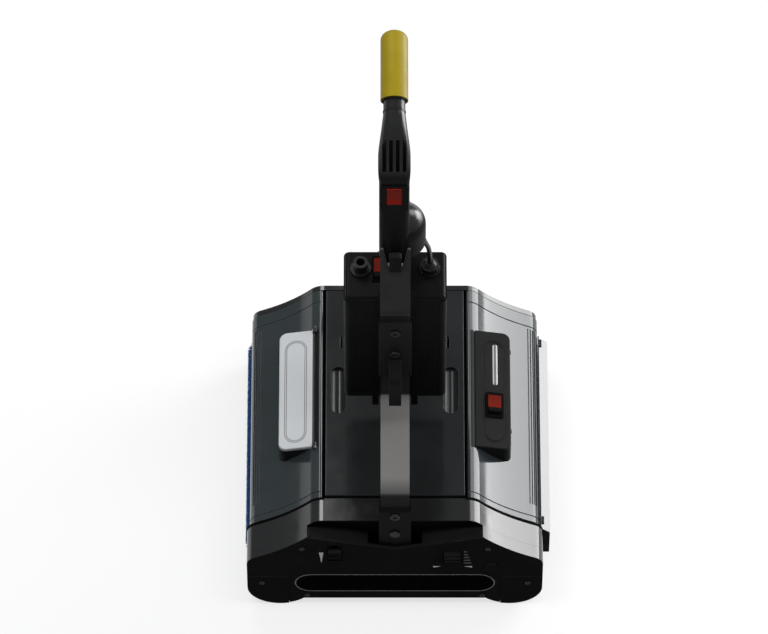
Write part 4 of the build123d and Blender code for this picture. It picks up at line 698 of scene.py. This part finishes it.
# Printed marks and the badge outline on the front cover; plain numbers are in millimetres
FACE_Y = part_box("front_cover")[0].y
BADGE_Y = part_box("badge_plate")[0].y
MARK_LIFT = 0.12 * MM
MARK_SINK = 0.05 * MM
BADGE_LENGTH = 299.0
BADGE_HEIGHT = 50.2
BADGE_Z = 60.0
BADGE_LINE = 1.7
END_STEPS = 20
WEDGES = {
    "flow_wedge": [(-112.9, 150), (-109.1, 119), (-106.2, 150)],
    "pressure_wedge_left": [(57, 106), (68.6, 109.4), (57, 110.6)],
    "pressure_wedge_right": [(103, 109.4), (115, 106), (115, 110.6)],
}
TICKS = 5
TICK_TOP_Z = 151.0
TICK_PITCH = 8.2
TICK_HEIGHT = 2.6
TICK_X = 102.5
TICK_REACH_X = 107.0
TICK_GROWTH = 1.7


def front_and_back(outline, face_y):
    """Points of an outline of (x, z) a little in front of a face, then a little behind it."""
    depths = (face_y - MARK_LIFT, face_y + MARK_SINK)
    return [(x * MM, y, z * MM) for y in depths for x, z in outline]


def flat_mark(name, outline, material):
    """Thin printed plate on the front cover."""
    count = len(outline)
    faces = [tuple(range(count)), tuple(reversed(range(count, 2 * count)))]
    faces += band(0, count, count)
    points = front_and_back(outline, FACE_Y)
    add_mesh(name, points, faces, material, "chassis")


def stadium(length, height, z):
    """Points round a slot shape."""
    radius = height / 2
    points = []
    for centre, start in ((length / 2 - radius, -90), (radius - length / 2, 90)):
        for i in range(END_STEPS + 1):
            angle = math.radians(start + 180 * i / END_STEPS)
            points.append((centre + radius * math.cos(angle), z + radius * math.sin(angle)))
    return points


def badge_outline(name):
    """Plain raised line round the badge plate."""
    outer = stadium(BADGE_LENGTH, BADGE_HEIGHT, BADGE_Z)
    inner = stadium(BADGE_LENGTH - 2 * BADGE_LINE, BADGE_HEIGHT - 2 * BADGE_LINE, BADGE_Z)
    points = front_and_back(outer, BADGE_Y) + front_and_back(inner, BADGE_Y)
    count = len(outer)
    faces = []
    for first, second in ((2, 0), (3, 2), (1, 3), (0, 1)):
        faces += band(first * count, second * count, count)
    add_mesh(name, points, faces, outline_grey, "chassis")


badge_outline("badge_outline")
for name, corners in WEDGES.items():
    flat_mark(name, corners, mark_white)
for tick in range(TICKS):
    z0 = TICK_TOP_Z - TICK_PITCH * tick
    z1 = z0 + TICK_HEIGHT
    tick_end = TICK_REACH_X + TICK_GROWTH * tick
    corners = [(TICK_X, z0), (tick_end, z0), (tick_end, z1), (TICK_X, z1)]
    flat_mark(f"pressure_tick_{tick + 1}", corners, mark_grey)


# Rubber seal lips over the gap between the drive housing and the tanks, along the shoulder,
# near black so that they also paint the shadow line at that step, with lengths in millimetres
CROWN_X = 106.5
CROWN_R = 25.0
STEEP_DEG = 50.0
SHALLOW_DEG = 27.0
END_CORNER_R = 22.0
ARC_STEPS = 24
SEAL_INNER_X = 104.2
SEAL_OVER = 2.4
SEAL_GAP = 1.9
SEAL_LIFT = 0.3
SEAL_SINK = 0.05


def shoulder_points(half, top):
    """Points along the housing's crown, hollow slope and corner, as x, z and the angle by which
    the outward normal leans from the upright."""
    steep, shallow = math.radians(STEEP_DEG), math.radians(SHALLOW_DEG)
    corner_run = END_CORNER_R * (1 - math.sin(shallow))
    spare = half - CROWN_X - CROWN_R * math.sin(steep) - corner_run
    hollow_r = spare / (math.sin(steep) - math.sin(shallow))
    x, z = CROWN_X, top
    points = [(SEAL_INNER_X, top, 0.0), (x, z, 0.0)]
    for start, end, radius, turn in (
        (0.0, steep, CROWN_R, 1),
        (steep, shallow, hollow_r, -1),
        (shallow, math.pi / 2, END_CORNER_R, 1),
    ):
        for i in range(1, ARC_STEPS + 1):
            lean = start + (end - start) * i / ARC_STEPS
            points.append((
                x + turn * radius * (math.sin(lean) - math.sin(start)),
                z + turn * radius * (math.cos(lean) - math.cos(start)),
                lean,
            ))
        x, z, _ = points[-1]
    return points


def seal_and_shadow_lip(name, side):
    """Thin lip along one shoulder; side is 1 for the right and -1 for the left."""
    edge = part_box("drive_housing")[1]
    y0, y1 = edge.y - SEAL_OVER * MM, edge.y + SEAL_GAP * MM
    section = ((SEAL_LIFT, y0), (SEAL_LIFT, y1), (-SEAL_SINK, y1), (-SEAL_SINK, y0))
    corners = len(section)
    outline = shoulder_points(edge.x / MM, edge.z / MM)
    points = []
    for x, z, lean in outline:
        for lift, y in section:
            out, up = x + lift * math.sin(lean), z + lift * math.cos(lean)
            points.append((side * out * MM, y, up * MM))
    last = corners * (len(outline) - 1)
    faces = [tuple(reversed(range(corners))), tuple(range(last, last + corners))]
    for start in range(0, last, corners):
        faces += band(start + corners, start, corners)
    add_mesh(name, points, faces, seal_and_shade_black, "chassis", flip=side > 0)


seal_and_shadow_lip("right_seal_and_shadow_lip", 1)
seal_and_shadow_lip("left_seal_and_shadow_lip", -1)


# Dark strips on the ledges, at the bottom of the seams beside the recovery cover, as painted
# shade in the seams, with lengths in millimetres
LEDGE_Z = 186.0
SEAM_SHADE_X = (103.95, 107.3)
SEAM_SHADE_T = 0.6
SEAM_SHADE_END = 3.0


def seam_shade_strip(name, side):
    """Flat dark strip of painted shade in one seam; side is 1 for the right and -1 for the left."""
    x0, x1 = SEAM_SHADE_X
    y0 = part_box("drive_housing")[1].y + SEAM_SHADE_END * MM
    y1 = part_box("recovery_cover")[1].y - SEAM_SHADE_END * MM
    outline = ((x0, y0), (x1, y0), (x1, y1), (x0, y1))
    heights = (LEDGE_Z, LEDGE_Z + SEAM_SHADE_T)
    points = [(side * x * MM, y, z * MM) for z in heights for x, y in outline]
    faces = [(3, 2, 1, 0), (4, 5, 6, 7), *band(4, 0, 4)]
    add_mesh(name, points, faces, seal_and_shade_black, "chassis", flip=side < 0)


seam_shade_strip("right_seam_shade_strip", 1)
seam_shade_strip("left_seam_shade_strip", -1)


# Lead between the boiler's plug and the gland under the handle's barrel;
# plain numbers are in millimetres
SOCKET_X = 50.0
SOCKET_Y = 6.75
PLUG_TOP = 600.0
PLUG_RISE = 32.0
BARREL = (10.5, -19.25, 701.0)
BARREL_R = 33.0
GLAND_PLACE = (0.77, 0.34)  # from the barrel's middle, in barrel radii
GLAND_AIM = (0.2, 0.15, -0.97)
GLAND_LENGTH = 14
GLAND_SINK = 4
GLAND_DROP = 20
GLAND_PROFILE = [
    (0, 7), (8.5, 7), (10, 6.2), (10, 5.3), (12, 5.3), (12.6, 4.7), (13.6, 4.7), (14.2, 5.1),
    (15.8, 5.1), (16.4, 4.4), (18, 4.2),
]
GLAND_SIDES = 40
LEAD_R = 3.5 * MM
LEAD_ROUNDNESS = 5
LEAD_STEPS = 24


def vector_at(*millimetres):
    return Vector(millimetres) * MM


gland_aim = Vector(GLAND_AIM).normalized()
gland_root = vector_at(
    BARREL[0] + BARREL_R * GLAND_PLACE[0], BARREL[1] + BARREL_R * GLAND_PLACE[1], BARREL[2]
)
gland_end = gland_root + gland_aim * GLAND_LENGTH * MM
lead_route = [
    gland_end,
    gland_end + gland_aim * GLAND_DROP * MM,
    vector_at(SOCKET_X, SOCKET_Y, PLUG_TOP + PLUG_RISE),
    vector_at(SOCKET_X, SOCKET_Y, PLUG_TOP),
]
curve = bpy.data.curves.new("boiler_cable", "CURVE")
curve.dimensions = "3D"
curve.bevel_depth = LEAD_R
curve.bevel_resolution = LEAD_ROUNDNESS
curve.resolution_u = LEAD_STEPS
curve.use_fill_caps = True
spline = curve.splines.new("NURBS")
spline.points.add(len(lead_route) - 1)
for point, position in zip(spline.points, lead_route):
    point.co = (*position, 1.0)
spline.order_u = 3
spline.use_endpoint_u = True
curve.materials.append(lead_rubber)
cable = bpy.data.objects.new("boiler_cable", curve)
scene.collection.objects.link(cable)
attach(cable, "stirrup")


def turned(name, origin, axis, profile, material, body):
    """Solid of revolution: profile is (distance along the axis, radius) in millimetres."""
    across = axis.orthogonal().normalized()
    third = axis.cross(across)
    points, faces = [], []
    for along, radius in profile:
        for i in range(GLAND_SIDES):
            angle = 2 * math.pi * i / GLAND_SIDES
            ring = across * math.cos(angle) + third * math.sin(angle)
            points.append(tuple(origin + axis * along * MM + ring * radius * MM))
    last = (len(profile) - 1) * GLAND_SIDES
    for start in range(0, last, GLAND_SIDES):
        faces += band(start + GLAND_SIDES, start, GLAND_SIDES)
    faces.append(tuple(reversed(range(GLAND_SIDES))))
    faces.append(tuple(range(last, last + GLAND_SIDES)))
    return add_mesh(name, points, faces, material, body)


gland = turned(
    "lead_gland", gland_root - gland_aim * GLAND_SINK * MM, gland_aim, GLAND_PROFILE,
    socket_rubber, "stirrup",
)
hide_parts("boiler_lead")


# Floor and light, in metres
FLOOR_HALF = 30.0
FLOOR_GAP = 0.5 * MM
FLOOR_WHITE = 0.93
FLOOR_GLOW = 0.7
FLOOR_BOUNCE = 0.1
SKY = (0.94, 0.98, 1.0)
SKY_STRENGTH = 0.25


def floor_material():
    """White where it is seen, directly or in a reflection, with the object's shadow;
    dim as a bounce light."""
    material, tree, _ = new_material("floor_pale")
    tree.nodes.clear()
    rays = tree.nodes.new("ShaderNodeLightPath").outputs
    seen = calc(tree, "ADD", rays["Is Camera Ray"], rays["Is Glossy Ray"])
    seen = calc(tree, "MINIMUM", calc(tree, "ADD", seen, rays["Is Transmission Ray"]), 1.0)
    dim = tree.nodes.new("ShaderNodeBsdfDiffuse")
    dim.inputs["Color"].default_value = (*grey(FLOOR_BOUNCE), 1)
    white = tree.nodes.new("ShaderNodeBsdfDiffuse")
    white.inputs["Color"].default_value = (*grey(FLOOR_WHITE), 1)
    glow = tree.nodes.new("ShaderNodeEmission")
    glow.inputs["Strength"].default_value = 1.0
    pale = tree.nodes.new("ShaderNodeMixShader")
    pale.inputs[0].default_value = FLOOR_GLOW
    link(tree, white.outputs[0], pale.inputs[1])
    link(tree, glow.outputs[0], pale.inputs[2])
    whole = tree.nodes.new("ShaderNodeMixShader")
    link(tree, seen, whole.inputs[0])
    link(tree, dim.outputs[0], whole.inputs[1])
    link(tree, pale.outputs[0], whole.inputs[2])
    output = tree.nodes.new("ShaderNodeOutputMaterial")
    link(tree, whole.outputs[0], output.inputs["Surface"])
    return material


floor_mesh = bpy.data.meshes.new("floor")
floor_corners = [
    (sign_x * FLOOR_HALF, sign_y * FLOOR_HALF, 0)
    for sign_x, sign_y in ((-1, -1), (1, -1), (1, 1), (-1, 1))
]
floor_mesh.from_pydata(floor_corners, [], [(0, 1, 2, 3)])
floor_mesh.materials.append(floor_material())
floor = bpy.data.objects.new("floor", floor_mesh)
floor.location.z = cad_bounds[0].z - FLOOR_GAP
scene.collection.objects.link(floor)

world = bpy.data.worlds.new("studio")
scene.world = world
world.use_nodes = True
backdrop = world.node_tree.nodes["Background"]
backdrop.inputs["Color"].default_value = (*SKY, 1)
backdrop.inputs["Strength"].default_value = SKY_STRENGTH


def softbox(name, position, target, size, radiance, reflected=True):
    """Area lamp of a given brightness, turned to a target."""
    width, height = size
    lamp = bpy.data.lights.new(name, "AREA")
    lamp.shape = "RECTANGLE"
    lamp.size = width
    lamp.size_y = height
    lamp.energy = radiance * math.pi * width * height
    lit = bpy.data.objects.new(name, lamp)
    lit.location = position
    lit.rotation_mode = "QUATERNION"
    lit.rotation_quaternion = (Vector(target) - Vector(position)).to_track_quat("-Z", "Y")
    lit.visible_glossy = reflected
    scene.collection.objects.link(lit)


softbox("right_softbox", (1.97, 1.18, 0.76), (0, 0, 0.3), size=(1.3, 1.5), radiance=7.8)
softbox("right_upper", (1.7, 1.5, 2.3), (0, 0, 0.2), size=(1.2, 1.2), radiance=3.0)
softbox("left_strip", (-0.68, 1.33, 2.45), (-0.1, -0.1, 0.2), size=(0.8, 0.9), radiance=6.0)
softbox(
    "overhead", (0, -0.35, 3.3), (0, -0.35, 0.2), size=(4.0, 0.8), radiance=7.0, reflected=False
)
